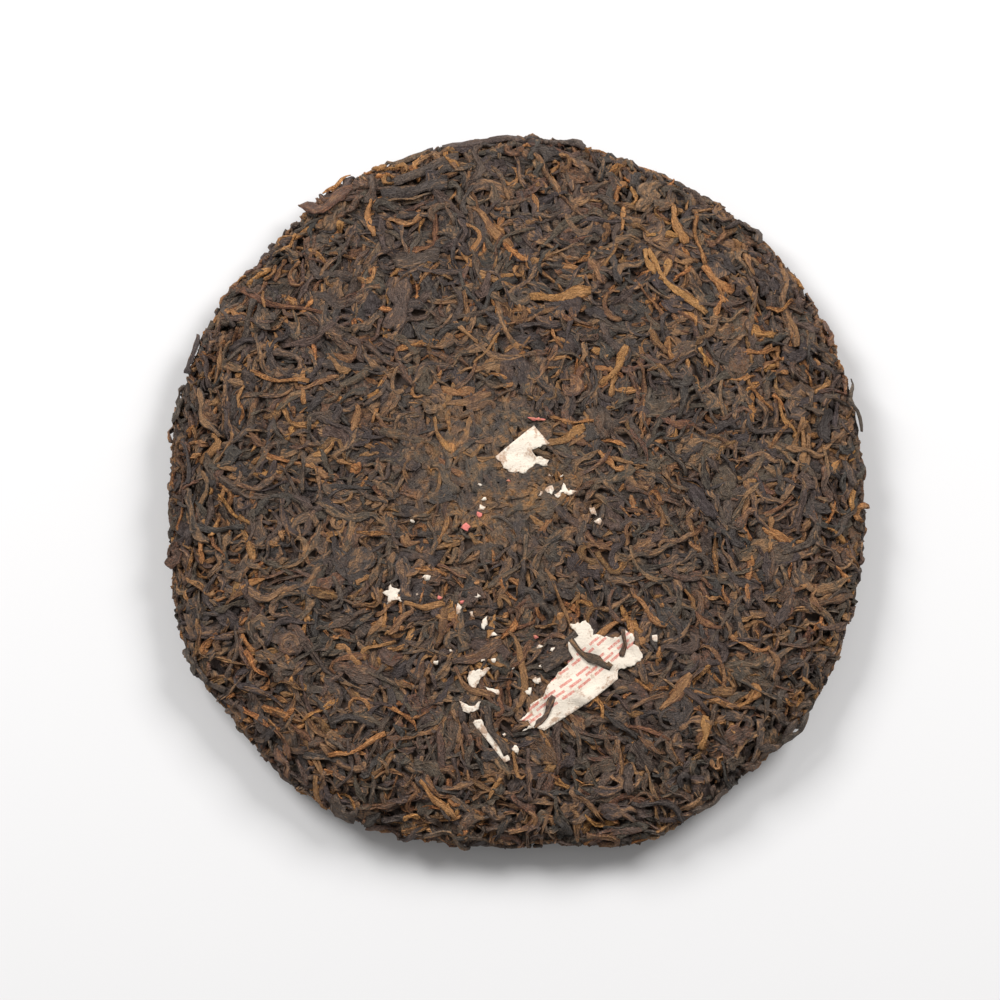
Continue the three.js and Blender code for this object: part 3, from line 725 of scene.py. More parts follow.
# %% Flecks of paper
# Where each lies, how wide it is and, where that isn't the usual 0.8, how many times as tall.
FLECKS = [
    (22.2, -7.3, 3), (23.6, -10.1, 2.2), (0.6, -72.6, 2.8), (-8, -38.5, 2.8, 1.2), (-5.6, -41.6, 2.2),
    (6.8, -54.1, 2.9), (4.2, -57.3, 2.7), (38.8, -41.9, 2), (-24.2, -25.6, 2.4), (-15.4, -34.4, 2.1, 1.4),
    (7, -44.8, 2.2), (10.9, -45.6, 2.1), (-26.7, -30.1, 1.3), (-9.9, -31, 1.6, 1.5),
    (-11.6, -35.8, 1.5, 1.3), (-21.1, -48.7, 1.6), (-17.1, -45.7, 1.5), (-9.6, 0, 1.5),
    (-8.2, -3.9, 1.6), (-28.1, -10.1, 1.4),
    (9.9, -1.4, 3), (10.3, 2.8, 1.6), (13.4, 2.6, 1.3), (7.6, -2.4, 1.4), (-8.8, -6.4, 2.4),
    (-8.5, -48.6, 1.4), (-5.5, -48.6, 1.8), (-0.3, -50.9, 1.2), (7.6, -49.9, 2.4), (-2.8, -68.7, 1.2),
]
PINK_FLECKS = [
    (-13.8, -11.8, 3.1), (-9.4, -8.4, 1.8), (-20.5, -31.2, 2), (-14.4, -32.4, 1.8), (5.9, -42.4, 1.5),
    (-1.5, 1, 1.2), (6.3, 18.6, 4.6, 0.3),
]
FLECK_CORNERS = 6


def fleck_outline(random, x, y, size, tall=0.8):
    """A ragged little shape, as wide as its size and that many times as tall."""
    turn = np.arange(FLECK_CORNERS) + random.uniform(-0.3, 0.3, FLECK_CORNERS)
    angle = turn / FLECK_CORNERS * 2 * math.pi
    radius = size / 2 * random.uniform(0.4, 1.3, FLECK_CORNERS)
    return [(x + r * math.cos(a), y + r * math.sin(a) * tall) for r, a in zip(radius, angle)]


print("flecks of paper:", len(FLECKS), "white and", len(PINK_FLECKS), "pink")

# %% [markdown]
# ## Everything laid in order
# The order is the real one. The layers come first, then the leaves listed one by one, then the paper, and
# last the leaves that lie across the paper. One seed for each side gives the same cake every time.

# %% Lay the face and the back
SEED = 20
ON_THE_CAKE = {"sway": (0.2, 0.15), "blunt": 0.7}
OFF_THE_CAKE = {"sway": (0.5, 0.35), "blunt": 0.4}
PLACED_THICK = 0.8
PLACED_STEM_THICK = 1.0
PLACED_TWIST = 6
PLACED_UNEVEN = 0.15


def lay_by_hand(bed, leaves, lidded=True):
    """Lays the leaves of a list. Those that aren't lidded lie over the paper."""
    laid = []
    for kind, x, y, degrees, long, wide, bend, tone, *lift in leaves:
        u, v = chart_place(x, y)
        thick = PLACED_STEM_THICK if kind in STIFF_KINDS else PLACED_THICK
        heading, bent = math.radians(degrees), math.radians(bend)
        flare = (*lift, 0.0, 0.0, 0.0)[:3]
        laid.append(lay_leaf(
            bed, kind, u, v, heading, long, wide, thick, bent, flare=flare, uneven=PLACED_UNEVEN,
            twist=(tone * PLACED_TWIST, PLACED_TWIST), tone=tone, hue=tone, lidded=lidded,
            **(OFF_THE_CAKE if lift else ON_THE_CAKE),
        ))
    return laid


def lay_layers(random, side):
    """The layers of one side, in order, and the bed that they make."""
    bed = Bed(side)
    laid = []
    for shares in LAYER_SHARES:
        laid += scatter_layer(random, bed, LEAVES_PER_LAYER[side], shares)
    return bed, laid


face_random = np.random.default_rng(SEED)
face_bed, face_leaves = lay_layers(face_random, FACE)
face_leaves += lay_by_hand(face_bed, NOTABLE + OFF_RIM)
scraps = [lay_scrap(face_bed, face_random, name, corners) for name, corners in SCRAPS.items()]
white_flecks, pink_flecks = (
    [lay_scrap(face_bed, face_random, "fleck", fleck_outline(face_random, *fleck)) for fleck in flecks]
    for flecks in (FLECKS, PINK_FLECKS)
)
face_leaves += lay_by_hand(face_bed, OVER_PAPER, lidded=False)
back_bed, back_leaves = lay_layers(np.random.default_rng(SEED + 1), BACK)
print("leaves laid:", len(face_leaves), "on the face and", len(back_leaves), "on the back")
print("the bed is", round(float(face_bed.height.mean()), 2), "mm deep on average")

# %% [markdown]
# ## Pressing
# The block presses the highest leaves flush and leaves the gaps between them dark and deep. So each
# point's height is measured from the bed's local average, and what stands above it is squeezed into a
# thin layer. Near the rim the cloth presses less, so the heights are stretched there and the layer is
# thicker.

# %% Press the bed
PRESS_SPREAD = 7
RIM_RELIEF = 1.7
PRESSED_LAYER = {"heart": 0.12, "middle": 0.8, "rim": 3.0}
SKIN_SINK = {"middle": 0.25, "rim": 1.3}
GAP_DEPTH = {"heart": 0.6, "middle": 2.8, "rim": 4.2}
EASED = {FACE: face_bed.eased(PRESS_SPREAD), BACK: back_bed.eased(PRESS_SPREAD)}
BEDS = {FACE: face_bed, BACK: back_bed}


def local(depths, loose, hard):
    """A depth at each place, between its values in the middle, at the rim and in the heart."""
    depth = within((depths["middle"], depths["rim"]), loose)
    return within((depth, depths.get("heart", 0.0)), hard)


def pressed(side, x, y, height):
    """How far a point at some height in the bed stands off the cake's skin after pressing."""
    hard, loose = heart(side, x, y), looseness(np.hypot(x, y))
    above = (height - EASED[side][BEDS[side].cell(x, y)]) * within((1, RIM_RELIEF), loose)
    layer, gap = local(PRESSED_LAYER, loose, hard), local(GAP_DEPTH, loose, hard)
    squeezed = layer * (1 - np.exp(-np.maximum(above, 0) / layer))
    sunk = -gap * (1 - np.exp(np.minimum(above, 0) / gap))
    return np.where(above > 0, squeezed, sunk) - local(SKIN_SINK, loose, 0.0)


highest = pressed(FACE, np.array([50.0]), np.array([0.0]), np.array([face_bed.height.max()]))
print("the highest leaf, laid 50 mm from the middle, would stand", round(float(highest[0]), 2), "mm off")

# %% [markdown]
# ## From leaves to meshes
# All leaves of a kind become one mesh, built straight from arrays, because thousands of separate objects
# would be slow. Leaves that later ones hide completely are left out. Each leaf gets a tone of its own,
# its length and breadth in millimetres for streaks along it, and a small cell of one picture for baking.

# %% Rings round a leaf
# Each ring goes round a leaf: how far across, and how high. A rope has a groove between two ridges.
ROPE_RING = (np.array([0.0, 1.0, 0.62, 0.1, -0.45, -1.0]), np.array([0.0, 0.3, 0.95, 0.86, 1.0, 0.3]))
FLAT_RING = (
    np.array([0.0, 1.0, 0.7, 0.35, 0.0, -0.35, -0.7, -1.0]),
    np.array([0.0, 0.3, 0.95, 0.78, 0.95, 0.74, 1.0, 0.3]),
)
FIBRE_RING = (np.array([0.0, 1.0, 0.1, -1.0]), np.array([0.0, 0.4, 1.0, 0.4]))
RINGS = {"torn_leaves": FLAT_RING, "fibres": FIBRE_RING, "crumbs": FIBRE_RING}
RIDGE_WANDER = 0.26
EDGE_WANDER = 0.08
RIDGE_SWELL = 0.28
CRUMPLE = 0.35


def crumpled(leaves, kind, stations, random):
    """The rings of many leaves, each with ridges and edges that wander along it."""
    ring_across, ring_crest = RINGS.get(kind, ROPE_RING)
    count, ring = len(leaves), len(ring_across)
    phase = random.uniform(0, 2 * math.pi, (count, 1, ring))
    pace = random.uniform(3, 13, (count, 1, ring))
    share = np.linspace(0, 1, stations)[None, :, None]
    upper = (ring_crest > 0.2).astype(float)
    wander = np.sin(phase + pace * share) + random.normal(0, CRUMPLE, (count, stations, ring))
    swell = np.cos(phase * 1.7 + pace * share * 1.3) + random.normal(0, CRUMPLE, (count, stations, ring))
    across = ring_across + np.where(np.abs(ring_across) == 1, EDGE_WANDER, RIDGE_WANDER) * wander * upper
    crest = ring_crest * (1 + RIDGE_SWELL * swell * upper)
    return across, np.clip(crest, 0, 1.4)


def leaf_rings(side, leaves, across, crest):
    """The points of many leaves at once: leaf, station, point of the ring, and x, y, z."""
    keys = ("x", "y", "turn", "half", "under", "body", "flare")
    stack = {key: np.array([leaf[key] for leaf in leaves])[..., None] for key in keys}
    offset = across * stack["half"]
    x = stack["x"] - np.sin(stack["turn"]) * offset
    y = stack["y"] + np.cos(stack["turn"]) * offset
    height = stack["under"] + crest * stack["body"]
    lidded = np.array([leaf["lidded"] for leaf in leaves])[:, None, None]
    capped = np.minimum(height, BEDS[side].lid[BEDS[side].cell(x, y)])
    height = np.where(lidded, capped, height)
    depth = EASED[side][BEDS[side].cell(x, y)] - height
    return onto_cake(side, x, y, pressed(side, x, y, height) + stack["flare"]), depth


print("points in a ring:", {kind: len(RINGS.get(kind, ROPE_RING)[0]) for kind in KINDS})

# %% Faces and meshes
# The margin round each leaf's cell in the baked picture, and how many times longer than wide a cell is.
CELL_INSET = 0.12
CELL_STRETCH = 3


def ring_faces(count, stations, ring):
    """Quads round every leaf and a fan at each end."""
    point = np.arange(ring)
    station = np.arange(stations - 1)[:, None]
    first = station * ring + point
    second = station * ring + (point + 1) % ring
    quads = np.stack([first, second, second + ring, first + ring], axis=-1).reshape(-1, 4)
    start = np.arange(count)[:, None, None] * stations * ring
    sides = (start + quads[None]).reshape(-1, 4)
    fan = np.stack([np.zeros(ring - 2, int), np.arange(2, ring), np.arange(1, ring - 1)], axis=-1)
    last = (stations - 1) * ring
    caps = np.concatenate([fan, fan[:, ::-1] + last])
    return sides, (start + caps[None]).reshape(-1, 3)


def mesh_from_arrays(name, points, quads, triangles):
    """A mesh object from arrays of points in millimetres and of faces."""
    mesh = bpy.data.meshes.new(name)
    mesh.vertices.add(len(points))
    mesh.vertices.foreach_set("co", (points * MM).astype(np.float32).ravel())
    corners = np.concatenate([quads.ravel(), triangles.ravel()]).astype(np.int32)
    sizes = np.concatenate([np.full(len(quads), 4), np.full(len(triangles), 3)])
    starts = np.concatenate([[0], np.cumsum(sizes)[:-1]]).astype(np.int32)
    mesh.loops.add(len(corners))
    mesh.loops.foreach_set("vertex_index", corners)
    mesh.polygons.add(len(sizes))
    mesh.polygons.foreach_set("loop_start", starts)
    mesh.update(calc_edges=True)
    mesh.validate()
    piece = bpy.data.objects.new(name, mesh)
    bpy.context.scene.collection.objects.link(piece)
    return piece


def leaf_cells(count, stations, ring, quads, triangles):
    """The place of every face corner in the baked picture, one small cell for each leaf."""
    columns = max(1, int(math.sqrt(count / CELL_STRETCH)))
    rows = math.ceil(count / columns)
    leaf, rest = np.divmod(np.concatenate([quads.ravel(), triangles.ravel()]), stations * ring)
    station, point = np.divmod(rest, ring)
    corner = np.tile(np.arange(4), len(quads))
    wraps = (point[: quads.size] == 0) & ((corner == 1) | (corner == 2))
    turn = point.astype(float)
    turn[: quads.size][wraps] = ring
    along = CELL_INSET / 2 + (1 - CELL_INSET) * station / (stations - 1)
    around = CELL_INSET + (1 - 2 * CELL_INSET) * turn / ring
    return np.stack([(leaf % columns + along) / columns, (leaf // columns + around) / rows], axis=-1)


def sharpen_ridges(mesh, ring):
    """Marks the edges that run along each leaf, so that its ridges and grooves stay crisp."""
    ends = np.empty(2 * len(mesh.edges), np.int32)
    mesh.edges.foreach_get("vertices", ends)
    sharp = mesh.attributes.new("sharp_edge", "BOOLEAN", "EDGE")
    sharp.data.foreach_set("value", np.abs(ends[::2] - ends[1::2]) == ring)


def add_point_values(piece, name, values, kind="FLOAT"):
    """Stores one number or vector for each point of a piece, for its finish to read."""
    layer = piece.data.attributes.new(name, kind, "POINT")
    field = "value" if kind == "FLOAT" else "vector"
    layer.data.foreach_set(field, np.ascontiguousarray(values, np.float32).ravel())


example_sides, example_caps = ring_faces(1, 4, len(FIBRE_RING[0]))
print("a fibre of 4 rings has", len(example_sides), "quads and", len(example_caps), "triangles")

# %% One piece for each kind and side
# How much of a leaf has to show for it to be kept, and how far under the bed's average is fully deep.
SEEN_ENOUGH = {FACE: 0.1, BACK: 0.18}
DEEP = 1.6
# The leaves' noise starts at different places, up to this many mm apart.
OWN_START = 60


def leaf_piece(name, side, kind, leaves, random):
    """One piece made of all the visible leaves of one kind on one side."""
    stations = stations_of(side, kind)
    across, crest = crumpled(leaves, kind, stations, random)
    points, depth = leaf_rings(side, leaves, across, crest)
    quads, triangles = ring_faces(*across.shape)
    piece = mesh_from_arrays(name, points.reshape(-1, 3), quads, triangles)
    sharpen_ridges(piece.data, across.shape[2])
    cells = piece.data.uv_layers.new(name="OFBake")
    cells.data.foreach_set("uv", leaf_cells(*across.shape, quads, triangles).astype(np.float32).ravel())
    long = np.array([leaf["long"] for leaf in leaves])[:, None, None]
    half = np.array([leaf["half"] for leaf in leaves])[:, :, None]
    along = np.broadcast_to(np.linspace(0, 1, stations)[None, :, None] * long, across.shape)
    own = np.broadcast_to(random.uniform(0, OWN_START, len(leaves))[:, None, None], across.shape)
    add_point_values(piece, "leaf_mm", np.stack([along, across * half, own], axis=-1), "FLOAT_VECTOR")
    for value in ("tone", "hue"):
        each = np.array([leaf[value] for leaf in leaves])[:, None, None]
        add_point_values(piece, "leaf_" + value, np.broadcast_to(each, across.shape))
    add_point_values(piece, "leaf_crest", crest)
    # How deep each point lies below the bed's average, which the finish darkens as painted shade.
    add_point_values(piece, "leaf_depth", np.clip(depth / DEEP, 0, 1))
    add_point_values(piece, "leaf_film", heart(side, points[..., 0], points[..., 1]))
    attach(piece, "root")
    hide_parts("tea_cake")
    return piece


leaf_random = np.random.default_rng(SEED + 2)
leaf_pieces = {}
triangle_total = 0
for side, bed, leaves in ((FACE, face_bed, face_leaves), (BACK, back_bed, back_leaves)):
    shown = [leaf for leaf in leaves if bed.seen(leaf) > SEEN_ENOUGH[side]]
    for kind in KINDS:
        chosen = [leaf for leaf in shown if leaf["kind"] == kind]
        piece = leaf_piece(f"{side}_{kind}", side, kind, chosen, leaf_random)
        leaf_pieces[(side, kind)] = piece
        triangles = sum(len(face.vertices) - 2 for face in piece.data.polygons)
        triangle_total += triangles
        print(f"{piece.name}: {len(chosen)} leaves, {triangles} triangles")
print("triangles in all leaves:", triangle_total)

# %% [markdown]
# ## The paper as pieces
# Each scrap is a closed thin solid: the draped sheet, the same sheet a little lower, and a narrow wall
# between them. Flecks are made the same way, and joined by colour.

# %% Paper pieces
def sheet_arrays(scraps_of_piece):
    """Points in millimetres, faces, and flat places with the distance to the edge, of several scraps."""
    points, faces, flats, start = [], [], [], 0
    for scrap in scraps_of_piece:
        count = len(scrap["flat"])
        x, y = scrap["x"], scrap["y"]
        rise = pressed(FACE, x, y, scrap["under"])
        tops, soles = onto_cake(FACE, x, y, rise + PAPER_THICK), onto_cake(FACE, x, y, rise)
        top = scrap["faces"]
        edges = np.concatenate([top[:, [0, 1]], top[:, [1, 2]], top[:, [2, 0]]])
        paired = {tuple(edge) for edge in edges}
        border = np.array([edge for edge in edges if (edge[1], edge[0]) not in paired])
        walls = np.concatenate([
            np.stack([border[:, 1], border[:, 0], border[:, 0] + count], axis=-1),
            np.stack([border[:, 1], border[:, 0] + count, border[:, 1] + count], axis=-1),
        ])
        points += [tops, soles]
        faces.append(np.concatenate([top, top[:, ::-1] + count, walls]) + start)
        flats += [np.column_stack([scrap["flat"], scrap["to_edge"]])] * 2
        start += 2 * count
    return np.concatenate(points), np.concatenate(faces), np.concatenate(flats)


def paper_piece(name, scraps_of_piece, node):
    points, faces, flats = sheet_arrays(scraps_of_piece)
    piece = mesh_from_arrays(name, points, np.zeros((0, 4), int), faces)
    add_point_values(piece, "paper_mm", flats, "FLOAT_VECTOR")
    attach(piece, "root")
    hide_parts(node)
    return piece


paper_pieces = [paper_piece("shown_" + scrap["name"], [scrap], scrap["name"]) for scrap in scraps]
fleck_pieces = [
    paper_piece("white_flecks", white_flecks, "tea_cake"),
    paper_piece("pink_flecks", pink_flecks, "tea_cake"),
]
print("paper pieces:", ", ".join(piece.name for piece in paper_pieces + fleck_pieces))

# %% [markdown]
# ## The imported tea underneath
# Between the leaves the eye meets more tea, pressed solid, nearly black in the shade of the gaps. One closed
# skin a little below the leaves gives that, coloured darker than any leaf as painted shade, with lumps of
# leaf size so that it isn't smooth where a gap lets it show.
# It follows the beds' average height, which the leaves stand on.

# %% The core
CORE_TURNS = 220
CORE_ROWS = 110
CORE_SINK = 1.9
CORE_LUMPS = 0.5
# The lumps fade out inside this radius, where the points lie close together.
LUMPS_FADE = 40
CORE_OVER_FLOOR = 0.2
HEART_CORE_RISE = 0.6
RIM_CORE_SINK = 1.9


def core_piece():
    """A closed skin under the leaves, from the middle of the face to the middle of the back."""
    random = np.random.default_rng(SEED + 3)
    run = np.linspace(0, SECTION_LENGTH, CORE_ROWS + 2)[1:-1]
    angle = np.linspace(0, 2 * math.pi, CORE_TURNS, endpoint=False)
    runs, angles = np.meshgrid(run, angle, indexing="ij")
    fading = np.clip(np.interp(runs, SECTION_RUN, SECTION_RADIUS) / LUMPS_FADE, 0, 1)
    lumps = CORE_LUMPS * fading * random.uniform(-1, 1, runs.shape)
    skin = skin_point(runs, angles)
    risen = HEART_CORE_RISE * heart(FACE, skin[..., 0], skin[..., 1]) * (runs < RUN_AT_WAIST)
    sunk = RIM_CORE_SINK * looseness(np.minimum(runs, SECTION_LENGTH - runs))
    places = skin - skin_out(runs, angles) * (CORE_SINK + sunk + lumps - risen)[..., None]
    places[..., 2] = np.maximum(places[..., 2], CORE_OVER_FLOOR)
    top = np.array([[OUTLINE_SHIFT[0], OUTLINE_SHIFT[1], CENTRE_HEIGHT - CORE_SINK]])
    bottom = np.array([[OUTLINE_SHIFT[0], OUTLINE_SHIFT[1], HOLLOW_DEPTH + CORE_SINK]])
    points = np.concatenate([places.reshape(-1, 3), top, bottom])
    row = np.arange(CORE_ROWS - 1)[:, None]
    turn = np.arange(CORE_TURNS)[None, :]
    following = (turn + 1) % CORE_TURNS
    here, beside = row * CORE_TURNS + turn, row * CORE_TURNS + following
    quads = np.stack([here, here + CORE_TURNS, beside + CORE_TURNS, beside], axis=-1).reshape(-1, 4)
    turn, following = turn.ravel(), following.ravel()
    last = (CORE_ROWS - 1) * CORE_TURNS
    crown = np.stack([np.full(CORE_TURNS, len(points) - 2), turn, following], axis=-1)
    hollow = np.stack([np.full(CORE_TURNS, len(points) - 1), last + following, last + turn], axis=-1)
    piece = mesh_from_arrays("packed_core", points, quads, np.concatenate([crown, hollow]))
    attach(piece, "root")
    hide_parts("tea_cake")
    return piece


packed_core = core_piece()
print("the core has", len(packed_core.data.polygons), "faces")

# %% [markdown]
# ## Writing a finish as sums
# A finish is a tree of nodes. Drawn by hand it is a tangle of links, so here a socket is wrapped in a
# small class that knows +, -, * and /, and each of those adds the Math node that works it out. Everything
# else comes from one method that makes any node from its type, its settings and what goes into its
# sockets.

# %% A signal
class Signal:
    """A number that varies over a surface: the output of a node."""

    def __init__(self, finish, socket):
        self.finish = finish
        self.socket = socket

    def maths(self, operation, *values):
        inputs = dict(enumerate(values))
        return self.finish.node("ShaderNodeMath", {"operation": operation}, inputs)

    def __add__(self, other):
        return self.maths("ADD", self, other)

    def __sub__(self, other):
        return self.maths("SUBTRACT", self, other)

    def __rsub__(self, other):
        return self.maths("SUBTRACT", other, self)

    def __mul__(self, other):
        return self.maths("MULTIPLY", self, other)

    def __truediv__(self, other):
        return self.maths("DIVIDE", self, other)

    def __lt__(self, other):
        return self.maths("LESS_THAN", self, other)

    def alone(self, operation):
        """A sum that needs this number alone, such as FRACT."""
        return self.maths(operation, self)

    def held(self, low, high):
        """The same number, kept between two limits."""
        return self.maths("MINIMUM", self.maths("MAXIMUM", self, low), high)

    __radd__ = __add__
    __rmul__ = __mul__


print("a signal knows + - * / and <")

# %% A finish
class Finish:
    """One material, written as expressions on signals."""

    def __init__(self, name, **constants):
        self.material = bpy.data.materials.new(name)
        self.material.use_nodes = True
        self.tree = self.material.node_tree
        self.shader = self.tree.nodes["Principled BSDF"]
        for socket, value in constants.items():
            self.shader.inputs[socket.replace("_", " ")].default_value = value

    def node(self, kind, settings=None, inputs=None, output=0):
        made = self.tree.nodes.new(kind)
        for setting, value in (settings or {}).items():
            if setting == "stops":
                self.set_stops(made.color_ramp, value)
            else:
                setattr(made, setting, value)
        for socket, value in (inputs or {}).items():
            self.feed(made.inputs[socket], value)
        return Signal(self, made.outputs[output])

    def feed(self, socket, value):
        if isinstance(value, Signal):
            self.tree.links.new(value.socket, socket)
        else:
            socket.default_value = value

    @staticmethod
    def set_stops(ramp, stops):
        for place, colour in stops[2:]:
            ramp.elements.new(place)
        for element, (place, colour) in zip(ramp.elements, stops):
            element.position = place
            element.color = colour

    def attribute(self, name, output=2):
        return self.node("ShaderNodeAttribute", {"attribute_name": name}, output=output)

    def scaled(self, vector, scale):
        return self.node("ShaderNodeVectorMath", {"operation": "MULTIPLY"}, {0: vector, 1: scale})

    def noise(self, vector, scale, detail, rough):
        inputs = {"Vector": vector, "Scale": scale, "Detail": detail, "Roughness": rough}
        return self.node("ShaderNodeTexNoise", None, inputs)

    def ramp(self, signal, stops):
        return self.node("ShaderNodeValToRGB", {"stops": stops}, {0: signal})

    def blend(self, share, first, second, way="MIX"):
        settings = {"data_type": "RGBA", "blend_type": way}
        return self.node("ShaderNodeMix", settings, {0: share, 6: first, 7: second}, output=2)

    def darken(self, share, colour, shade):
        return self.blend(share, colour, shade, "MULTIPLY")

    def bump(self, height, strength, distance):
        inputs = {"Height": height, "Strength": strength, "Distance": distance}
        return self.node("ShaderNodeBump", None, inputs)

    def wear(self, **signals):
        """Connects signals to the shader, such as Base_Color."""
        for socket, signal in signals.items():
            self.feed(self.shader.inputs[socket.replace("_", " ")], signal)
        return self.material


def tint(red, green, blue):
    """A colour as a picture shows it, 0 to 255, turned into the linear values that a shader needs."""
    parts = [red / 255, green / 255, blue / 255]
    return [part / 12.92 if part <= 0.04045 else ((part + 0.055) / 1.055) ** 2.4 for part in parts] + [1.0]


print("middle grey is", round(tint(128, 128, 128)[0], 3), "in linear light")

# %% [markdown]
# ## The finish of a leaf
# A fermented leaf is dull dark brown with a slight waxy gleam. Wrinkles run along it, ochre shows where
# the leaf is rubbed or was golden, and painted shade darkens its grooves and what lies deep among the
# leaves. One image for all would repeat. Noise stretched along the leaf's own length gives wrinkles that
# follow every bend. All kinds share one scale of tea colours, from blue-black to ochre, and differ in
# which part of it their leaves take. Within a kind every leaf has a place of its own on the scale, and
# leans a little to red or to green.

# %% Leaf finishes
WRINKLE_STRETCH = (0.6, 2.0, 1.0)
PATCH_STRETCH = (0.22, 0.6, 1.0)
GRAIN_STRETCH = (2.2, 3.0, 1.0)
AREA_SCALE = 45.0
MOTTLE_SCALE = 240.0
# A furrow runs where the wrinkles' noise passes this value.
FURROW_AT = 0.47
FURROW_SHARPNESS = 14.0
# The height of a plain ridge, and the most that rubbing or the pressed film cover.
RIDGE_HEIGHT = 0.74
RUBBED_MOST = 0.62
FILM_MOST = 0.65
LEAF_RELIEF = 0.0009
TEA_COLOURS = [
    (0.0, tint(88, 80, 77)), (0.2, tint(103, 90, 81)), (0.4, tint(120, 100, 85)),
    (0.55, tint(139, 98, 73)), (0.7, tint(150, 112, 74)), (0.85, tint(184, 125, 72)),
    (1.0, tint(214, 152, 90)),
]
# Which part of the scale each kind takes, and how much its ridges are rubbed.
LEAF_LOOKS = {
    "dark_ropes": (0.0, 0.45, -0.25),
    "umber_ropes": (0.1, 0.7, -0.12),
    "grey_ropes": (-0.1, 0.3, -0.30),
    "ochre_strips": (0.66, 1.0, 0.08),
    "golden_tips": (0.85, 1.1, 0.05),
    "torn_leaves": (-0.05, 0.5, -0.28),
    "stems": (0.45, 0.9, 0.0),
    "fibres": (0.3, 1.0, -0.1),
    "crumbs": (0.1, 0.95, -0.1),
}
RUBBED_COLOUR = tint(191, 142, 95)
# From leaf to leaf the colour leans a little to red or to green.
CASTS = [(0.0, tint(255, 241, 244)), (1.0, tint(247, 255, 246))]
# Painted shade: what a groove and a deep place leave of the leaf's red, green and blue.
GROOVE_SHADE = (0.28, 0.195, 0.17, 1.0)
DEEP_SHADE = (0.18, 0.12, 0.10, 1.0)
FILM_COLOURS = [
    (0.42, tint(70, 63, 58)), (0.48, tint(92, 78, 65)), (0.53, tint(108, 88, 67)),
    (0.59, tint(158, 113, 67)),
]


def leaf_finish(name, darkest, lightest, rubbing):
    """Wrinkled leaf, from its grooves, darkened by painted shade, to its rubbed ridges."""
    finish = Finish(name, IOR=1.45)
    place = finish.attribute("leaf_mm", output=1)
    tone, hue = finish.attribute("leaf_tone"), finish.attribute("leaf_hue")
    crest, depth = finish.attribute("leaf_crest"), finish.attribute("leaf_depth")
    film = finish.attribute("leaf_film")
    wrinkle = finish.noise(finish.scaled(place, WRINKLE_STRETCH), 1.0, 3.0, 0.65)
    patch = finish.noise(finish.scaled(place, PATCH_STRETCH), 1.0, 2.0, 0.5)
    area = finish.noise(finish.node("ShaderNodeTexCoord", output=3), AREA_SCALE, 4.0, 0.6)
    mottle = finish.noise(finish.node("ShaderNodeTexCoord", output=3), MOTTLE_SCALE, 6.0, 0.7)
    grain = finish.noise(finish.scaled(place, GRAIN_STRETCH), 1.0, 2.0, 0.7)
    furrow = (1.0 - (wrinkle - FURROW_AT).alone("ABSOLUTE") * FURROW_SHARPNESS).held(0, 1)
    height = (wrinkle - 0.5) * 1.3 + (crest - 0.7) * 1.4 - furrow * 0.34 + RIDGE_HEIGHT
    uneven = (patch - 0.5) * 0.4 + (mottle - 0.5) * 0.4 + (grain - 0.5) * 0.7
    shade = hue * (lightest - darkest) + darkest + uneven
    cast = finish.ramp((hue * 7.0).alone("FRACT"), CASTS)
    body = finish.darken(1.0, finish.ramp(shade.held(0, 1), TEA_COLOURS), cast)
    chance = (patch - 0.5) * 1.1 + (tone - 0.5) * 1.1 + (area - 0.5) * 1.1
    worn = chance + (height - RIDGE_HEIGHT) * 0.6 + rubbing - 0.06
    rubbed = finish.blend((worn * 1.2).held(0, RUBBED_MOST), body, RUBBED_COLOUR)
    smeared = finish.ramp(mottle, FILM_COLOURS)
    filmed = finish.blend((film * (area * 1.2 + 0.1)).held(0, FILM_MOST), rubbed, smeared)
    # Painted shade in the grooves, the furrows and along each leaf's low edges, mixed with a darker tone
    # that varies from leaf to leaf and a fine grain.
    hollow = (0.83 - height - (tone - 0.5) * 0.75 - (grain - 0.5) * 1.9).held(0, 1) * (1.0 - film * 0.5)
    groove_shaded = finish.darken(hollow, filmed, GROOVE_SHADE)
    # Painted shade: what lies deep among the leaves is darkened, less in the pressed film.
    shaded = finish.darken((depth * 0.8 * (1.0 - film)).held(0, 1), groove_shaded, DEEP_SHADE)
    rough = (0.45 + patch * 0.3 + wrinkle * 0.15).held(0.3, 0.95)
    bumps = (wrinkle + patch * 0.6 + grain * 0.9 - furrow * 0.4) * (1.0 - film * 0.6)
    relief = finish.bump(bumps, 1.0, LEAF_RELIEF)
    return finish.wear(Base_Color=shaded, Roughness=rough, Normal=relief)


leaf_materials = {kind: leaf_finish(kind.replace("_", " "), *look) for kind, look in LEAF_LOOKS.items()}
for (side, kind), piece in leaf_pieces.items():
    piece.data.materials.append(leaf_materials[kind])
print("leaf finishes:", ", ".join(leaf_materials))

# %% [markdown]
# ## The finish of the paper
# The ticket is thin cream paper, stained brown by the tea, mostly along its torn edges, with two bands of
# faint pink dashes printed on the large scrap. An image could hold the dashes, but remainders of a distance
# draw them as sharply at any size: along a line for the dashes and across for the lines. Each line starts a
# little further along than the last. The core's plain dark finish is painted shade, as it shows only in
# gaps.

# %% Paper finishes
PRINT_DIRECTION = math.radians(38)
PRINT_ROWS = [(-52.9, 4.2, 5.6), (-47.8, 3.2, 4.4)]
PRINT_LINE = 1.4
PRINT_DASH = 0.72
PRINT_STAGGER = 0.37
STAIN_AT_EDGE = 1.6
CREAM, PINK = tint(236, 223, 206), tint(224, 128, 118)
STAIN, PRINT_RED = tint(160, 114, 78), tint(214, 108, 94)


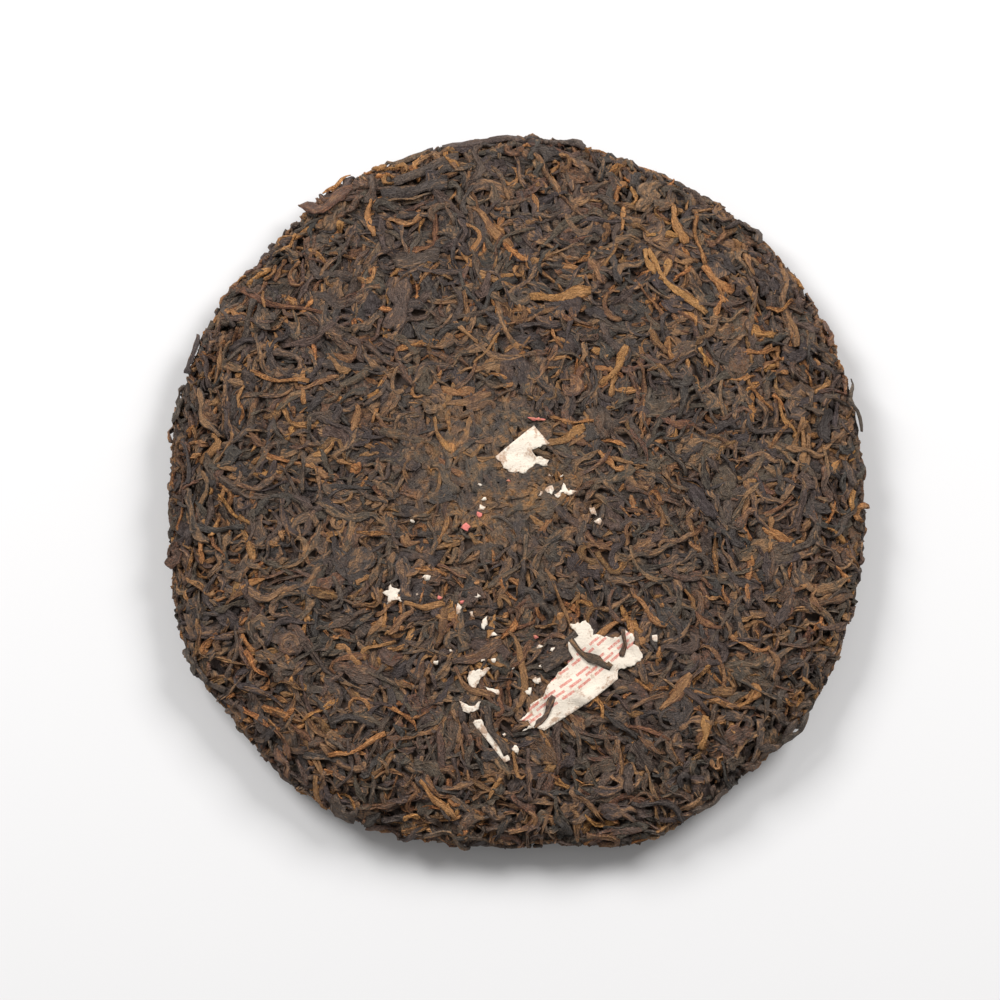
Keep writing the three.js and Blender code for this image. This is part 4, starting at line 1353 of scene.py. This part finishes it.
def paper_finish(name, ground, printed, stains=0.12):
    """Fibrous paper with brown stains, and with dashes of print where it has any."""
    finish = Finish(name, IOR=1.4)
    place = finish.attribute("paper_mm", output=1)
    x, y, to_edge = (
        finish.node("ShaderNodeSeparateXYZ", None, {0: place}, output=axis) for axis in range(3)
    )
    fibre = finish.noise(place, 1.8, 4.0, 0.6)
    cloud = finish.noise(place, 0.35, 4.0, 0.6)
    torn = (1.0 - to_edge / STAIN_AT_EDGE).held(0, 1)
    stained = ((cloud - 0.54) * 5.0 + (fibre - 0.5) * 2.0 + torn * 0.6 - 0.25 + stains).held(0, 0.7)
    colour = finish.blend(stained, ground, STAIN)
    if printed:
        along = x * math.cos(PRINT_DIRECTION) + y * math.sin(PRINT_DIRECTION)
        across = y * math.cos(PRINT_DIRECTION) - x * math.sin(PRINT_DIRECTION)
        ink = 0.0
        for middle, tall, pitch in PRINT_ROWS:
            row = (across - middle).alone("ABSOLUTE") < tall / 2
            line = across / PRINT_LINE
            run = along / pitch + line.alone("FLOOR") * PRINT_STAGGER
            ink = row * (run.alone("FRACT") < PRINT_DASH) * (line.alone("FRACT") < 0.5) + ink
        colour = finish.blend((ink * (fibre * 2.4 - 0.5)).held(0, 0.8), colour, PRINT_RED)
    relief = finish.bump(fibre + cloud * 1.5, 0.6, 0.0004)
    return finish.wear(Base_Color=colour, Roughness=0.7 + fibre * 0.2, Normal=relief)


printed_paper = paper_finish("printed paper", CREAM, True, stains=0.03)
plain_paper = paper_finish("plain paper", CREAM, False)
for piece in [*paper_pieces, fleck_pieces[0]]:
    piece.data.materials.append(printed_paper if piece.name == "shown_paper_ticket" else plain_paper)
fleck_pieces[1].data.materials.append(paper_finish("pink paper", PINK, False))
print("the dashes run at", round(math.degrees(PRINT_DIRECTION)), "degrees")

# %% The finish of the core
def painted_shade_core_finish():
    """Pressed tea, nearly black: its colour is painted shade for the gaps between the leaves."""
    finish = Finish("packed tea in painted shade", IOR=1.4)
    where = finish.node("ShaderNodeTexCoord", None, None, output=3)
    clumps = finish.noise(where, 420.0, 4.0, 0.6)
    colour = finish.ramp(clumps, [(0.3, tint(52, 39, 32)), (0.75, tint(88, 68, 55))])
    relief = finish.bump(clumps, 0.8, 0.0006)
    return finish.wear(Base_Color=colour, Roughness=0.55 + clumps * 0.3, Normal=relief)


packed_core.data.materials.append(painted_shade_core_finish())
print("the core wears", packed_core.data.materials[0].name)

# %% [markdown]
# ## Floor and light
# The cake is seen from nearly straight above, on white paper, with a soft light at the upper left and one
# at the upper right. A wide light a long way off would be softer still, but the gaps between the leaves
# would lose their shadows.

# %% Floor and lights
FLOOR_SIZE = 6.0
FLOOR_COLOUR = tint(228, 227, 227)
WORLD_STRENGTH = 0.32
LAMPS = [
    {"name": "left_lamp", "place": (-0.8, 0.75, 0.95), "size": 0.6, "watts": 16.9},
    {"name": "right_lamp", "place": (0.8, 0.75, 0.95), "size": 0.6, "watts": 15.7},
]


def floor():
    bpy.ops.mesh.primitive_plane_add(size=FLOOR_SIZE)
    plane = bpy.context.object
    plane.name = "floor"
    finish = Finish("pale paper", Roughness=0.9)
    finish.shader.inputs["Base Color"].default_value = FLOOR_COLOUR
    plane.data.materials.append(finish.material)


def lamp(name, place, size, watts):
    light = bpy.data.lights.new(name, "AREA")
    light.size = size
    light.energy = watts
    holder = bpy.data.objects.new(name, light)
    holder.location = place
    holder.rotation_mode = "QUATERNION"
    holder.rotation_quaternion = (-Vector(place)).to_track_quat("-Z", "Y")
    bpy.context.scene.collection.objects.link(holder)


floor()
for one in LAMPS:
    lamp(**one)
world = bpy.data.worlds.new("studio")
bpy.context.scene.world = world
world.use_nodes = True
sky = world.node_tree.nodes["Background"]
sky.inputs["Color"].default_value = (1, 1, 1, 1)
sky.inputs["Strength"].default_value = WORLD_STRENGTH
bpy.context.scene.view_settings.view_transform = "Standard"
print("lamps:", ", ".join(one["name"] for one in LAMPS))

# %% [markdown]
# ## Camera
# A camera close by would show the rim's near side larger than its far side. One a long way off, with a lens
# to match, sees the cake as flat as the photo does. It tips a little from straight above, as a person
# looking down at a table would.

# %% Camera
ELEVATION = math.radians(84)
DISTANCE = 1.5
FRAME_WIDTH = 0.2813
AIM = Vector((-0.0042, -0.0031, 0.012))

camera = bpy.data.objects.new("camera", bpy.data.cameras.new("camera"))
bpy.context.scene.collection.objects.link(camera)
camera.data.lens = camera.data.sensor_width * DISTANCE / FRAME_WIDTH
back_from_cake = Vector((0, -math.cos(ELEVATION), math.sin(ELEVATION)))
camera.location = AIM + back_from_cake * DISTANCE
camera.rotation_mode = "QUATERNION"
camera.rotation_quaternion = (-back_from_cake).to_track_quat("-Z", "Y")
bpy.context.scene.camera = camera
print("the camera looks down at", round(math.degrees(ELEVATION)), "degrees")
